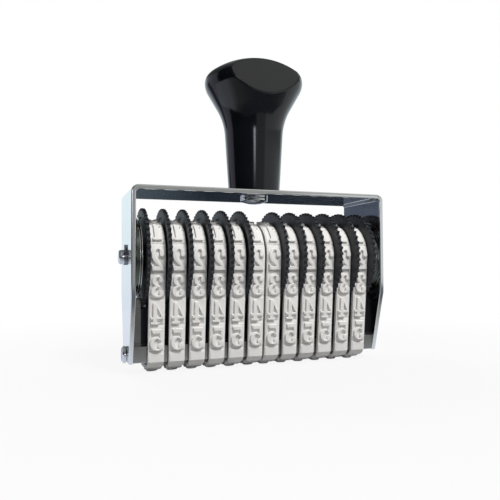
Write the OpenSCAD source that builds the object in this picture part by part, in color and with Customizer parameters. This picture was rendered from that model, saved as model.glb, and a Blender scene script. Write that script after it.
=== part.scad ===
// Hand numbering machine. Twelve rubber number bands run side by side, each over its own
// toothed wheel and round one common platen bar. A bent steel frame carries the axle and
// the platen, and a moulded knob handle stands on top of it.
// Millimetres. The origin is the middle of the printing face. X runs along the row of
// bands, Y to the back and Z up.

/* [Bands] */
// Width of one rubber band
band_w = 4.1; // [3.6:0.1:5]
// Thickness of a band's backing
band_t = 1.1; // [0.8:0.1:1.4]
// Height of the raised type above the backing
type_relief = 0.75; // [0.4:0.05:1]
// Width of one type block
type_w = 3.6; // [2.8:0.1:3.6]
// Gap between one type block and the next, along the band
type_gap = 0.9; // [0.5:0.1:1.6]
// Gap between a band and the neighbouring wheel
band_gap = 0.2; // [0.15:0.05:0.5]
// Gap between the two middle bands
middle_gap = 0.6; // [0.5:0.1:1.5]
// Inside radius of a band where it turns under the platen
band_turn_r = 1.5; // [1.3:0.1:1.7]

/* [Band wheels] */
// Radius of a wheel over its teeth
wheel_r = 12.8; // [11.8:0.1:14]
// Depth of the finger notches between the teeth
notch_depth = 0.7; // [0.4:0.05:1]
// Radius of a notch's round bottom
notch_r = 0.55; // [0.45:0.05:0.6]
// Thickness of the toothed flange
flange_t = 0.9; // [0.8:0.05:1.4]
// Chamfer on the flange's edges
flange_chamfer = 0.15; // [0.05:0.05:0.25]
// Depth of the dished face of the flange
dish_depth = 0.35; // [0.1:0.05:0.4]
// Width of the plain rim outside the dished face
rim_w = 2.3; // [1.6:0.1:2.8]
// Radius of the drum that carries the band
drum_r = 8; // [7.2:0.1:8.6]
// Wall of the drum's open end
drum_wall = 1.2; // [0.8:0.1:1.6]
// Outside radius of the hub
hub_r = 3.6; // [3:0.1:4.2]
// Clearance between a band and the drum or the flange beside it
band_fit = 0.1; // [0.08:0.02:0.2]
// End play between neighbouring wheels
wheel_play = 0.1; // [0.05:0.05:0.2]

/* [Axle] */
// Height of the axle above the printing face
axle_h = 29.6; // [28:0.2:34]
// Diameter of the axle
axle_d = 3.7; // [3.2:0.1:4.2]
// How far the axle stands out of each cheek
axle_stub = 1.9; // [1.5:0.1:3]
// Chamfer on the axle's ends
axle_chamfer = 0.3; // [0.1:0.1:0.5]
// Radial clearance of the wheels on the axle
axle_fit = 0.05; // [0.02:0.01:0.1]
// Thickness of a retaining clip
clip_t = 0.4; // [0.3:0.05:0.8]
// Outside radius of a retaining clip's ring
clip_r = 2.4; // [2.1:0.1:3]
// Radius that the lug on top of a retaining clip reaches
clip_reach = 3.2; // [3.2:0.1:4]
// Width of the lug on a retaining clip
clip_lug_w = 0.9; // [0.6:0.1:1.4]
// Depth of the clip's groove in the axle
groove_depth = 0.4; // [0.2:0.05:0.6]
// Thickness of a friction spring washer
washer_t = 0.3; // [0.2:0.05:0.4]
// Height of the cone that a spring washer is dished to
washer_dish = 0.3; // [0.1:0.05:0.6]
// Outside radius of a spring washer
washer_r = 5.2; // [4.6:0.1:6]
// Outside radius of an end spacer's collar
spacer_r = 5.6; // [5:0.1:7]
// How much smaller an end spacer's disc is than the wheels, in radius
disc_step = 0.6; // [0.3:0.1:3]
// How far an end spacer's disc stays back from the end of its collar
disc_room = 0.35; // [0.2:0.05:0.8]

/* [Frame] */
// Room between the end wheels and the cheeks
end_room = 2.4; // [1.8:0.1:4]
// Depth of the frame, front to back
frame_d = 20.6; // [18:0.2:24]
// Thickness of the sheet steel
sheet_t = 1.2; // [0.8:0.1:1.6]
// Room between the wheels and the top plate
top_room = 3.7; // [3:0.1:6]
// Inside radius of the two bends
bend_r = 0.7; // [0.4:0.1:2]
// Height at which the cheeks start to narrow
kink_h = 19.6; // [12:0.2:24]
// How far the cheeks reach below the platen's foot
cheek_drop = 0.25; // [0:0.05:0.6]

/* [Platen] */
// Depth of the platen's foot, front to back
foot_d = 10.8; // [9:0.2:13]
// Height of the platen's foot
foot_h = 4.15; // [3.6:0.05:5]
// Chamfer on the foot's lower edges
foot_chamfer = 0.2; // [0.2:0.05:0.8]
// Thickness of the web that stands on the foot
web_t = 4.2; // [2:0.2:5]
// Room between the web and the wheels
web_room = 0.7; // [0.5:0.1:2]
// Thickness of the rubber cushion under the foot
cushion_t = 0.9; // [0.7:0.05:1.4]
// How far the cushion's ends stay inside the row of bands
cushion_inset = 0.8; // [0.2:0.1:2]
// Diameter of the platen screws' thread
screw_d = 2.2; // [1.8:0.1:2.6]
// Length of a platen screw in the foot
screw_l = 7; // [4:0.5:12]
// Diameter of a platen screw's head
screw_head_d = 4.4; // [3.4:0.1:4.6]
// Height of a platen screw's head
screw_head_h = 1.1; // [0.8:0.1:1.4]
// How far the platen screws lie below the middle of the foot
screw_drop = 0.5; // [0:0.05:0.5]

/* [Handle] */
// Radius of the handle where it stands on the frame
handle_base_r = 7.15; // [6.2:0.05:8]
// Taper of the handle's neck, in degrees
neck_taper = 3.5; // [1:0.25:5]
// Radius of the hollow curve that flares the neck out
flare_r = 17; // [10:0.5:22]
// Slope of the flare, in degrees from upright
flare_angle = 30; // [25:1:34]
// Largest radius of the knob
knob_r = 13.8; // [12.8:0.1:15]
// Height of the domed crown above the knob's widest line
crown_h = 6.3; // [4.2:0.1:8]
// Radius of the curve below the widest line
under_r = 5; // [3:0.25:6]
// Radius of the curve above the widest line
shoulder_r = 2.6; // [1.5:0.1:3.5]
// Height of the handle above the frame
handle_h = 37.5; // [34:0.1:46]
// How deep the flat facet is cut into the front of the knob
facet_cut = 3.9; // [2:0.1:4.5]
// Backward lean of the facet, in degrees
facet_lean = 14; // [5:1:25]
// Diameter of the handle screw's thread
handle_screw_d = 4; // [3:0.1:5]
// Length of the handle screw in the handle
handle_screw_l = 13; // [8:0.5:20]
// Diameter of the handle screw's head
handle_head_d = 7.8; // [7:0.1:10]
// Height of the handle screw's head
handle_head_h = 1.6; // [1.2:0.1:2]

/* [Hidden] */
$fn = 96;
// Bands in each half of the row
half_count = 6;
band_count = 2 * half_count;
// Type blocks on one band
type_count = 14;
// Teeth on one wheel
tooth_count = 48;
// Radial clearance of a fixed pin or screw in its hole
pin_fit = 0.05;
// Clearance between pieces that stand next to each other without moving
seat_fit = 0.05;
// Depth by which one shape is sunk into another that it is fused to
sink = 0.3;
// Overshoot of a cutting shape past the surface that it cuts
over = 1;
// Row of bands and wheels
unit_pitch = flange_t + band_fit + band_w + band_gap;
row_half = middle_gap / 2 + band_w + (half_count - 1) * unit_pitch;
stack_half = row_half + band_fit + flange_t;
wheel_l = unit_pitch - wheel_play;
drum_l = flange_t + band_fit + band_w;

// Frame
inner_half = stack_half + end_room;
outer_half = inner_half + sheet_t;
plate_z = axle_h + wheel_r + top_room;
frame_h = plate_z + sheet_t;

// Platen
foot_z = type_relief + band_t + band_fit + cushion_t;
foot_top_z = foot_z + foot_h;
web_top_z = axle_h - wheel_r - web_room;
cheek_z = foot_z - cheek_drop;
screw_z = foot_z + foot_h / 2 - screw_drop;

// Band loop: inner radius on the drum, the turn's centre, and the run between them
loop_r = drum_r + band_fit;
turn_y = foot_d / 2 + band_fit - band_turn_r;
turn_z = type_relief + band_t + band_turn_r;
loop_drop = axle_h - turn_z;
loop_span = norm([turn_y, loop_drop]);
run_l = sqrt(pow(loop_span, 2) - pow(loop_r - band_turn_r, 2));
run_tilt = asin((loop_r - band_turn_r) / loop_span) - atan2(turn_y, loop_drop);

// Lengths along the middle of the backing
neutral = band_t / 2;
turn_l = (90 - run_tilt) * PI / 180 * (band_turn_r + neutral);
drum_arc_l = (180 + 2 * run_tilt) * PI / 180 * (loop_r + neutral);
loop_l = 2 * (turn_y + turn_l + run_l) + drum_arc_l;
type_pitch = loop_l / type_count;

// Axle
axle_r = axle_d / 2;
bore_r = axle_r + axle_fit;
axle_half = outer_half + axle_stub;
washer_l = washer_t + washer_dish;

// Handle profile, heights measured from its base
knob_h = handle_h - crown_h;
under_r0 = knob_r - under_r;
flare_end = [under_r0 + under_r * cos(flare_angle), knob_h - under_r * sin(flare_angle)];
bend_h = (flare_end[0] - flare_end[1] * tan(flare_angle) - handle_base_r)
    / (tan(neck_taper) - tan(flare_angle));
bend_point = [handle_base_r + bend_h * tan(neck_taper), bend_h];
bend_l = flare_r * tan((flare_angle - neck_taper) / 2);
neck_end = bend_point - bend_l * [sin(neck_taper), cos(neck_taper)];
flare_centre = neck_end + flare_r * [cos(neck_taper), -sin(neck_taper)];
shoulder_r0 = knob_r - shoulder_r;
dome_r = (pow(shoulder_r0, 2) + pow(crown_h, 2) - pow(shoulder_r, 2)) / (2 * (crown_h - shoulder_r));
dome_h = handle_h - dome_r;
dome_angle = atan2(knob_h - dome_h, shoulder_r0);

function two_digits(i) = i < 10 ? str("0", i) : str(i);
function names(stem) = [for (i = [1:band_count]) str(stem, two_digits(i))];

// ---- placing ----

// Extrudes a side profile, drawn as (Y, Z), along X
module along_x(x, l) {
    translate([x, 0, 0])
        rotate([90, 0, 90])
            linear_extrude(l)
                children();
}

// Turns a profile, drawn as (radius, X), about the axle
module about_axle(x) {
    translate([x, 0, axle_h])
        rotate([0, 90, 0])
            rotate_extrude()
                children();
}

// A round bar along X, centred on a point of the side view
module bar_x(r, x, l, y, z) {
    translate([x, y, z])
        rotate([0, 90, 0])
            cylinder(r = r, h = l);
}

// Draws a piece of the left half, or its mirror image in the right half
module on_side(left) {
    if (left) children();
    else mirror([1, 0, 0]) children();
}

// Draws the n-th unit of the row from the drawing of the left half's innermost one
module in_row(n) {
    left = n <= half_count;
    steps = left ? half_count - n : n - half_count - 1;
    on_side(left)
        translate([-steps * unit_pitch, 0, 0])
            children();
}

// ---- frame ----

module cheek_outline() {
    polygon([
        [-frame_d / 2, plate_z - bend_r],
        [-frame_d / 2, kink_h],
        [-foot_d / 2, cheek_z],
        [foot_d / 2, cheek_z],
        [frame_d / 2, kink_h],
        [frame_d / 2, plate_z - bend_r]
    ]);
}

module bend() {
    translate([-inner_half + bend_r, frame_d / 2, plate_z - bend_r])
        rotate([90, 0, 0])
            rotate([0, 0, 90])
                rotate_extrude(angle = 90)
                    translate([bend_r, 0])
                        square([sheet_t, frame_d]);
}

module frame_side() {
    along_x(-outer_half, sheet_t) cheek_outline();
    bend();
}

// One steel strip bent to a U, drilled for the axle, the platen screws and the handle
module frame() {
    color("silver")
        difference() {
            union() {
                frame_side();
                mirror([1, 0, 0]) frame_side();
                translate([-inner_half + bend_r, -frame_d / 2, plate_z])
                    cube([2 * (inner_half - bend_r), frame_d, sheet_t]);
            }
            bar_x(axle_r + pin_fit, -outer_half - over, 2 * (outer_half + over), 0, axle_h);
            bar_x(screw_d / 2 + pin_fit, -outer_half - over, 2 * (outer_half + over), 0, screw_z);
            translate([0, 0, plate_z - over])
                cylinder(r = handle_screw_d / 2 + pin_fit, h = sheet_t + 2 * over);
        }
}

// ---- handle ----

// Points along an arc, without its first one, about one for every three degrees
function arc(c, r, from, to) =
    let (n = ceil(abs(to - from) / 3))
    [for (i = [1:n]) c + r * [cos(from + (to - from) * i / n), sin(from + (to - from) * i / n)]];

module handle_profile() {
    polygon(concat(
        [[0, 0], [handle_base_r, 0], neck_end],
        arc(flare_centre, flare_r, 180 - neck_taper, 180 - flare_angle),
        [flare_end],
        arc([under_r0, knob_h], under_r, -flare_angle, 0),
        arc([shoulder_r0, knob_h], shoulder_r, 0, dome_angle),
        arc([0, dome_h], dome_r, dome_angle, 90)
    ));
}

// Moulded knob with a flat oval facet on its front
module handle() {
    color([0.13, 0.14, 0.15])
        translate([0, 0, frame_h])
            difference() {
                rotate_extrude() handle_profile();
                translate([0, facet_cut - knob_r, knob_h])
                    rotate([-facet_lean, 0, 0])
                        translate([-knob_r, -knob_r, -knob_r])
                            cube([2 * knob_r, knob_r, 2 * knob_r]);
                translate([0, 0, -over])
                    cylinder(r = handle_screw_d / 2 + pin_fit, h = handle_screw_l + 2 * over);
            }
}

// Screw that pulls the handle down on the top plate, put in from below
module handle_screw() {
    head_r = handle_head_d / 2;
    crown = handle_head_h / 2;
    ball_r = (pow(head_r, 2) + pow(crown, 2)) / (2 * crown);
    color("silver")
        difference() {
            union() {
                translate([0, 0, plate_z - sink])
                    cylinder(r = handle_screw_d / 2, h = sheet_t + handle_screw_l + sink);
                translate([0, 0, plate_z - crown])
                    cylinder(r = head_r, h = crown);
                intersection() {
                    translate([0, 0, plate_z - handle_head_h + ball_r]) sphere(r = ball_r);
                    translate([0, 0, plate_z - handle_head_h]) cylinder(r = head_r, h = crown);
                }
            }
            translate([-head_r, -0.5, plate_z - handle_head_h - over])
                cube([2 * head_r, 1, crown + over]);
        }
}

// ---- axle and what sits on it ----

module axle() {
    c = axle_chamfer;
    g0 = outer_half;
    g1 = outer_half + clip_t + 2 * seat_fit;
    groove_r = axle_r - groove_depth;
    color("gainsboro")
        about_axle(0)
            polygon([
                [0, -axle_half], [axle_r - c, -axle_half], [axle_r, c - axle_half],
                [axle_r, -g1], [groove_r, -g1], [groove_r, -g0], [axle_r, -g0],
                [axle_r, g0], [groove_r, g0], [groove_r, g1], [axle_r, g1],
                [axle_r, axle_half - c], [axle_r - c, axle_half], [0, axle_half]
            ]);
}

module clip_outline() {
    inner_r = axle_r - groove_depth + seat_fit;
    mouth = 1.6 * inner_r;
    difference() {
        union() {
            circle(r = clip_r);
            translate([-clip_lug_w / 2, 0]) square([clip_lug_w, clip_reach]);
        }
        circle(r = inner_r);
        translate([-mouth / 2, -clip_r - over]) square([mouth, clip_r + over]);
    }
}

// Ring that snaps into the axle's groove outside a cheek, open at the bottom and with a
// lug on top to lift it by
module retaining_clip(left) {
    color("dimgray")
        on_side(left)
            translate([-outer_half - clip_t - seat_fit, 0, axle_h])
                rotate([90, 0, 90])
                    linear_extrude(clip_t) clip_outline();
}

// Dished washer that presses the row of wheels together, with its bore on the first hub
module spring_washer(left) {
    color("silver")
        on_side(left)
            about_axle(-stack_half - wheel_play - washer_l)
                polygon([
                    [bore_r, washer_dish],
                    [washer_r, 0],
                    [washer_r, washer_t],
                    [bore_r, washer_l]
                ]);
}

// Collar that stands between a cheek and the spring washer. The disc round it closes the
// end of the row.
module end_spacer(left) {
    l = end_room - washer_l - 2 * seat_fit - wheel_play;
    disc_l = l - disc_room;
    disc_r = wheel_r - disc_step;
    color("gainsboro")
        on_side(left)
            about_axle(seat_fit - inner_half)
                polygon([
                    [bore_r, 0], [disc_r, 0], [disc_r, disc_l],
                    [spacer_r, disc_l], [spacer_r, l], [bore_r, l]
                ]);
}

// ---- platen ----

module platen_outline() {
    half = foot_d / 2;
    c = foot_chamfer;
    polygon([
        [-half, foot_z + c], [c - half, foot_z], [half - c, foot_z], [half, foot_z + c],
        [half, foot_top_z], [web_t / 2, foot_top_z],
        [web_t / 2, web_top_z - c], [web_t / 2 - c, web_top_z],
        [c - web_t / 2, web_top_z], [-web_t / 2, web_top_z - c],
        [-web_t / 2, foot_top_z], [-half, foot_top_z]
    ]);
}

// Bar that the bands are pressed down by: a foot with a web on it, tapped at both ends
module platen_bar() {
    hole_l = screw_l + over;
    color("lightsteelblue")
        difference() {
            along_x(-inner_half, 2 * inner_half) platen_outline();
            for (x = [-inner_half - over, inner_half - hole_l])
                bar_x(screw_d / 2 + pin_fit, x, hole_l + over, 0, screw_z);
        }
}

// Rubber strip under the foot, behind the printing face
module platen_cushion() {
    color([0.55, 0.53, 0.5])
        translate([cushion_inset - row_half, -turn_y, foot_z - cushion_t])
            cube([2 * (row_half - cushion_inset), 2 * turn_y, cushion_t]);
}

module platen_screw(left) {
    head_r = screw_head_d / 2;
    color("silver")
        on_side(left)
            difference() {
                union() {
                    bar_x(screw_d / 2, -outer_half - sink, sheet_t + screw_l + sink, 0, screw_z);
                    bar_x(head_r, -outer_half - screw_head_h, screw_head_h, 0, screw_z);
                }
                translate([-outer_half - screw_head_h - over, -0.35, screw_z - head_r])
                    cube([over + screw_head_h / 2, 0.7, 2 * head_r]);
            }
}

// ---- band wheels ----

// Half section of a wheel: toothed flange, drum and hub, with the flange's face at X = 0
module wheel_profile() {
    c = flange_chamfer;
    rim_r = wheel_r - rim_w;
    web_l = flange_t + band_w / 3;
    polygon([
        [bore_r, 0], [hub_r, 0], [hub_r, dish_depth], [rim_r, dish_depth], [rim_r, 0],
        [wheel_r - c, 0], [wheel_r, c], [wheel_r, flange_t - c], [wheel_r - c, flange_t],
        [drum_r, flange_t], [drum_r, drum_l],
        [drum_r - drum_wall, drum_l], [drum_r - drum_wall, web_l],
        [hub_r, web_l], [hub_r, wheel_l], [bore_r, wheel_l]
    ]);
}

// Toothed wheel that is turned with a finger to bring a number down
module band_wheel(n) {
    x = -middle_gap / 2 - drum_l;
    notch_centre = wheel_r - notch_depth + notch_r;
    color([0.2, 0.21, 0.23])
        in_row(n)
            difference() {
                about_axle(x) wheel_profile();
                for (i = [0:tooth_count - 1])
                    translate([x - over, 0, axle_h])
                        rotate([i * 360 / tooth_count, 0, 0])
                            bar_x(notch_r, 0, flange_t + 2 * over, 0, notch_centre);
            }
}

// ---- number bands ----

// Outline of the loop at a distance outside its inner face, drawn as (Y, Z)
module loop_outline(k) {
    low_r = band_turn_r + k;
    high_r = loop_r + k;
    side = [cos(run_tilt), -sin(run_tilt)];
    low = [turn_y, turn_z] + low_r * side;
    high = [0, axle_h] + high_r * side;
    translate([0, axle_h]) circle(high_r);
    for (y = [-turn_y, turn_y])
        translate([y, turn_z]) circle(low_r);
    polygon([
        [turn_y, turn_z - low_r], low, high, [0, axle_h],
        [-high[0], high[1]], [-low[0], low[1]], [-turn_y, turn_z - low_r]
    ]);
}

// Ring between two outlines of the loop
module loop_ring(k0, k1) {
    difference() {
        loop_outline(k1);
        loop_outline(k0);
    }
}

// Point on the loop's inside and its outward direction, [y, z, angle], at a length
// measured from the middle of the printing face towards the front
function front_place(s) =
    let (
        up = s - turn_y - turn_l,
        out = 180 + run_tilt,
        turn_a = 270 - (s - turn_y) / (band_turn_r + neutral) * 180 / PI,
        low = [-turn_y, turn_z] + band_turn_r * [cos(out), sin(out)],
        high = [0, axle_h] + loop_r * [cos(out), sin(out)],
        run_p = low + (high - low) * up / run_l,
        drum_a = out - (up - run_l) / (loop_r + neutral) * 180 / PI
    )
    s < turn_y ? [-s, turn_z - band_turn_r, 270]
    : up < 0 ? [band_turn_r * cos(turn_a) - turn_y, turn_z + band_turn_r * sin(turn_a), turn_a]
    : up < run_l ? [run_p[0], run_p[1], out]
    : [loop_r * cos(drum_a), axle_h + loop_r * sin(drum_a), drum_a];

function mirrored(p) = [-p[0], p[1], 180 - p[2]];
function place(s) = s <= loop_l / 2 ? front_place(s) : mirrored(front_place(loop_l - s));

// Closed rubber loop with a row of raised type blocks
module number_band(n) {
    x = -middle_gap / 2 - band_w;
    color([0.9, 0.89, 0.86])
        in_row(n) {
            along_x(x, band_w) loop_ring(0, band_t);
            along_x(x + (band_w - type_w) / 2, type_w)
                difference() {
                    loop_ring(band_t - sink, band_t + type_relief);
                    for (i = [0:type_count - 1]) {
                        p = place((i + 0.5) * type_pitch);
                        translate([p[0], p[1]])
                            rotate(p[2])
                                translate([0, -type_gap / 2])
                                    square([band_t + type_relief + over, type_gap]);
                    }
                }
        }
}

frame();
handle();
handle_screw();
axle();
retaining_clip(true);  // retaining_clip_left
retaining_clip(false);  // retaining_clip_right
spring_washer(true);  // spring_washer_left
spring_washer(false);  // spring_washer_right
end_spacer(true);  // end_spacer_left
end_spacer(false);  // end_spacer_right
platen_bar();
platen_cushion();
platen_screw(true);  // platen_screw_left
platen_screw(false);  // platen_screw_right
for (n = [1:band_count]) {
    band_wheel(n);
    number_band(n);
}
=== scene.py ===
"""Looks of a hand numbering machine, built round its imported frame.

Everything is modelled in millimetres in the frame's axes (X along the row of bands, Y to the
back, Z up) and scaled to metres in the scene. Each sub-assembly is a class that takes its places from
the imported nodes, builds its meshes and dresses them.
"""

import logging
import math
from dataclasses import dataclass, field
from enum import Enum
from typing import Callable, Iterable, Sequence

import bmesh
import bpy
from bmesh.types import BMEdge, BMesh, BMVert
from bpy.types import Material, Node, NodeSocket, NodeTree
from mathutils import Matrix, Vector


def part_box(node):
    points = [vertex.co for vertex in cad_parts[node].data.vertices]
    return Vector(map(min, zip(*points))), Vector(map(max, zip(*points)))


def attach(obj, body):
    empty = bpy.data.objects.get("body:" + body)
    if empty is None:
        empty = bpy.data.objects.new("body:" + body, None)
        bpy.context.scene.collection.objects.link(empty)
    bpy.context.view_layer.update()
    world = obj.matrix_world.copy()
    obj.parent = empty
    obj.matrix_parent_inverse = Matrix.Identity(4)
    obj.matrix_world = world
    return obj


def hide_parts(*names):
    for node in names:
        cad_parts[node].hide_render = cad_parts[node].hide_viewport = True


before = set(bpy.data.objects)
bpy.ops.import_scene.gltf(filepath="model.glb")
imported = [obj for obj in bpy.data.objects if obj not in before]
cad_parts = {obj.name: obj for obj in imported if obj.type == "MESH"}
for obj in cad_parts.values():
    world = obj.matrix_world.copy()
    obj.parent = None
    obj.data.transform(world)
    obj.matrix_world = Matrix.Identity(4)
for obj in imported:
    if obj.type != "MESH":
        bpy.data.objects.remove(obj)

LOG = logging.getLogger("numbering_machine")
MM = 0.001
MERGE = 1e-4
ROOT_BODY = "stamp"
ROW_COUNT = 12
FLANGE_T = 0.9
BORE_R = 1.9
Point2 = tuple[float, float]
Tone = tuple[float, float, float]


class Side(Enum):
    """The two ends of the row."""

    LEFT = "left"
    RIGHT = "right"


# ---------------------------------------------------------------- geometry helpers


def node_box(node: str) -> tuple[Vector, Vector]:
    """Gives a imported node's box in millimetres.

    Args:
        node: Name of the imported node.

    Returns:
        Lowest and highest corner.
    """
    low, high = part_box(node)
    return low / MM, high / MM


def middle_z(node: str) -> float:
    """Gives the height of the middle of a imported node, in millimetres."""
    low, high = node_box(node)
    return (low.z + high.z) / 2


def polar(centre: Point2, radius: float, degrees: float) -> Point2:
    """Gives the point at an angle on a circle."""
    turn = math.radians(degrees)
    return centre[0] + radius * math.cos(turn), centre[1] + radius * math.sin(turn)


def arc(centre: Point2, radius: float, start: float, end: float, steps: int) -> list[Point2]:
    """Gives points along an arc, both ends included.

    Args:
        centre: Centre of the arc.
        radius: Radius of the arc.
        start: First angle in degrees.
        end: Last angle in degrees.
        steps: Number of chords.

    Returns:
        The points in order.
    """
    return [polar(centre, radius, start + (end - start) * i / steps) for i in range(steps + 1)]


def rounded(points: Sequence[Point2], radius: float, steps: int = 3, closed: bool = True) -> list[Point2]:
    """Rounds the corners of an outline.

    Args:
        points: Corners in order.
        radius: Wished radius, made smaller where a side is short.
        steps: Chords in each rounded corner.
        closed: Whether the last corner joins the first one.

    Returns:
        The outline with a fillet in place of each corner.
    """
    result: list[Point2] = []
    count = len(points)
    for i, corner in enumerate(points):
        if not closed and i in (0, count - 1):
            result.append(corner)
            continue
        here = Vector(corner)
        back = Vector(points[i - 1]) - here
        ahead = Vector(points[(i + 1) % count]) - here
        angle = back.angle(ahead)
        if math.pi - angle < math.radians(4):
            result.append(corner)
            continue
        reach = min(radius / math.tan(angle / 2), 0.45 * back.length, 0.45 * ahead.length)
        first = here + back.normalized() * reach
        last = here + ahead.normalized() * reach
        for j in range(steps + 1):
            t = j / steps
            p = first.lerp(here, t).lerp(here.lerp(last, t), t)
            result.append((p.x, p.y))
    return result


def chain(bm: BMesh, points: Iterable[Sequence[float]], closed: bool) -> list[BMEdge]:
    """Adds a chain of edges.

    Args:
        bm: Mesh to add to.
        points: Points in space, in order.
        closed: Whether the chain is a ring.

    Returns:
        The new edges.
    """
    verts = [bm.verts.new(p) for p in points]
    pairs = list(zip(verts, verts[1:]))
    if closed:
        pairs.append((verts[-1], verts[0]))
    return [bm.edges.new(pair) for pair in pairs]


def revolve(
    points: Iterable[Sequence[float]],
    closed: bool,
    centre: Sequence[float],
    axis: Sequence[float],
    steps: int,
) -> BMesh:
    """Turns a chain of points about a line.

    Args:
        points: The points in order.
        closed: Whether they are a ring, or else a chain that ends on the line.
        centre: A point of the line.
        axis: Direction of the line.
        steps: Number of sides round the turn.

    Returns:
        The turned body.
    """
    bm = bmesh.new()
    edges = chain(bm, points, closed)
    geom = list(bm.verts) + edges
    bmesh.ops.spin(bm, geom=geom, cent=centre, axis=axis, angle=math.tau, steps=steps, use_merge=True)
    bmesh.ops.remove_doubles(bm, verts=list(bm.verts), dist=MERGE)
    bmesh.ops.recalc_face_normals(bm, faces=list(bm.faces))
    return bm


def lathe(profile: Iterable[Point2], axis_z: float, steps: int, closed: bool = True) -> BMesh:
    """Turns (radius, X) points about a line along X at a height."""
    points = [(x, 0.0, axis_z + r) for r, x in profile]
    return revolve(points, closed, (0.0, 0.0, axis_z), (1.0, 0.0, 0.0), steps)


def post(profile: Iterable[Point2], steps: int) -> BMesh:
    """Turns an open chain of (radius, Z) points about the Z axis."""
    points = [(r, 0.0, z) for r, z in profile]
    return revolve(points, False, (0.0, 0.0, 0.0), (0.0, 0.0, 1.0), steps)


def prism(outline: Sequence[Point2], x0: float, x1: float) -> BMesh:
    """Extrudes a side outline along X.

    Args:
        outline: (Y, Z) corners in order.
        x0: Start of the prism.
        x1: End of the prism.

    Returns:
        The closed prism.
    """
    bm = bmesh.new()
    edges = chain(bm, [(x0, y, z) for y, z in outline], True)
    made = bmesh.ops.contextual_create(bm, geom=edges)["faces"]
    grown = bmesh.ops.extrude_face_region(bm, geom=made)["geom"]
    verts = [g for g in grown if isinstance(g, BMVert)]
    bmesh.ops.translate(bm, verts=verts, vec=(x1 - x0, 0.0, 0.0))
    bmesh.ops.recalc_face_normals(bm, faces=list(bm.faces))
    return bm


def soften(bm: BMesh, width: float, segments: int = 2, limit: float = 30.0) -> None:
    """Bevels every edge that is sharper than a limit.

    Args:
        bm: Mesh to change.
        width: Width of the bevel.
        segments: Steps across the bevel.
        limit: Smallest angle between faces, in degrees.
    """
    bm.normal_update()
    sharp = [e for e in bm.edges if e.is_manifold and e.calc_face_angle(0.0) > math.radians(limit)]
    bmesh.ops.bevel(
        bm,
        geom=sharp,
        offset=width,
        offset_type="OFFSET",
        affect="EDGES",
        segments=segments,
        profile=0.5,
        material=-1,
        clamp_overlap=True,
    )


def slice_at(bm: BMesh, point: Sequence[float], normal: Sequence[float], drop_inner: bool = False) -> None:
    """Cuts all faces of a mesh along a plane.

    Args:
        bm: Mesh to cut.
        point: A point of the plane.
        normal: The plane's normal.
        drop_inner: Whether what lies behind the plane is removed.
    """
    geom = [*bm.verts, *bm.edges, *bm.faces]
    bmesh.ops.bisect_plane(bm, geom=geom, dist=MERGE, plane_co=point, plane_no=normal, clear_inner=drop_inner)


def move(bm: BMesh, step: Sequence[float]) -> None:
    """Shifts a whole mesh."""
    bmesh.ops.translate(bm, verts=list(bm.verts), vec=step)


def flatten(bm: BMesh) -> None:
    """Merges the faces that lie in one plane."""
    bmesh.ops.dissolve_limit(bm, angle_limit=math.radians(0.5), verts=list(bm.verts), edges=list(bm.edges))


def mirrored(bm: BMesh) -> BMesh:
    """Mirrors a mesh in X, with its faces still pointing outwards.

    Args:
        bm: Mesh to copy.

    Returns:
        The mirrored copy.
    """
    twin = bm.copy()
    bmesh.ops.scale(twin, vec=(-1.0, 1.0, 1.0), verts=list(twin.verts))
    bmesh.ops.reverse_faces(twin, faces=list(twin.faces))
    return twin


def join(parts: Sequence[BMesh]) -> BMesh:
    """Puts several meshes into one.

    Args:
        parts: Meshes, which are freed.

    Returns:
        One mesh with all of them.
    """
    whole = bmesh.new()
    for part in parts:
        scratch = bpy.data.meshes.new("scratch")
        part.to_mesh(scratch)
        part.free()
        whole.from_mesh(scratch)
        bpy.data.meshes.remove(scratch)
    return whole


def carve(body: BMesh, cutters: Sequence[BMesh]) -> BMesh:
    """Takes cutting shapes away from a body.

    Args:
        body: Mesh to cut, which is freed.
        cutters: Closed meshes to take away, which are freed.

    Returns:
        The cut body.
    """
    objects = []
    for bm in [body, *cutters]:
        mesh = bpy.data.meshes.new("scratch")
        bm.to_mesh(mesh)
        bm.free()
        objects.append(bpy.data.objects.new("scratch", mesh))
        bpy.context.scene.collection.objects.link(objects[-1])
    for cutter in objects[1:]:
        modifier = objects[0].modifiers.new("cut", "BOOLEAN")
        modifier.operation = "DIFFERENCE"
        modifier.solver = "EXACT"
        modifier.object = cutter
    depsgraph = bpy.context.evaluated_depsgraph_get()
    cut = bpy.data.meshes.new_from_object(objects[0].evaluated_get(depsgraph))
    result = bmesh.new()
    result.from_mesh(cut)
    bpy.data.meshes.remove(cut)
    for o in objects:
        mesh = o.data
        bpy.data.objects.remove(o)
        bpy.data.meshes.remove(mesh)
    bmesh.ops.remove_doubles(result, verts=list(result.verts), dist=MERGE)
    return result


def rod(centre: Sequence[float], axis: str, radius: float, length: float, sides: int = 48) -> BMesh:
    """Makes a plain round rod.

    Args:
        centre: Middle of the rod.
        axis: "X" or "Z".
        radius: Radius of the rod.
        length: Length of the rod.
        sides: Number of sides.

    Returns:
        The rod.
    """
    bm = bmesh.new()
    turn = Matrix.Rotation(math.pi / 2, 4, "Y") if axis == "X" else Matrix.Identity(4)
    bmesh.ops.create_cone(
        bm,
        cap_ends=True,
        segments=sides,
        radius1=radius,
        radius2=radius,
        depth=length,
        matrix=Matrix.Translation(centre) @ turn,
    )
    return bm


def block(low: Sequence[float], high: Sequence[float]) -> BMesh:
    """Makes a plain block between two corners.

    Args:
        low: Lowest corner.
        high: Highest corner.

    Returns:
        The block.
    """
    low_v, high_v = Vector(low), Vector(high)
    size = Matrix.Diagonal((*(high_v - low_v), 1.0))
    bm = bmesh.new()
    bmesh.ops.create_cube(bm, size=1.0, matrix=Matrix.Translation((low_v + high_v) / 2) @ size)
    return bm


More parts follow.
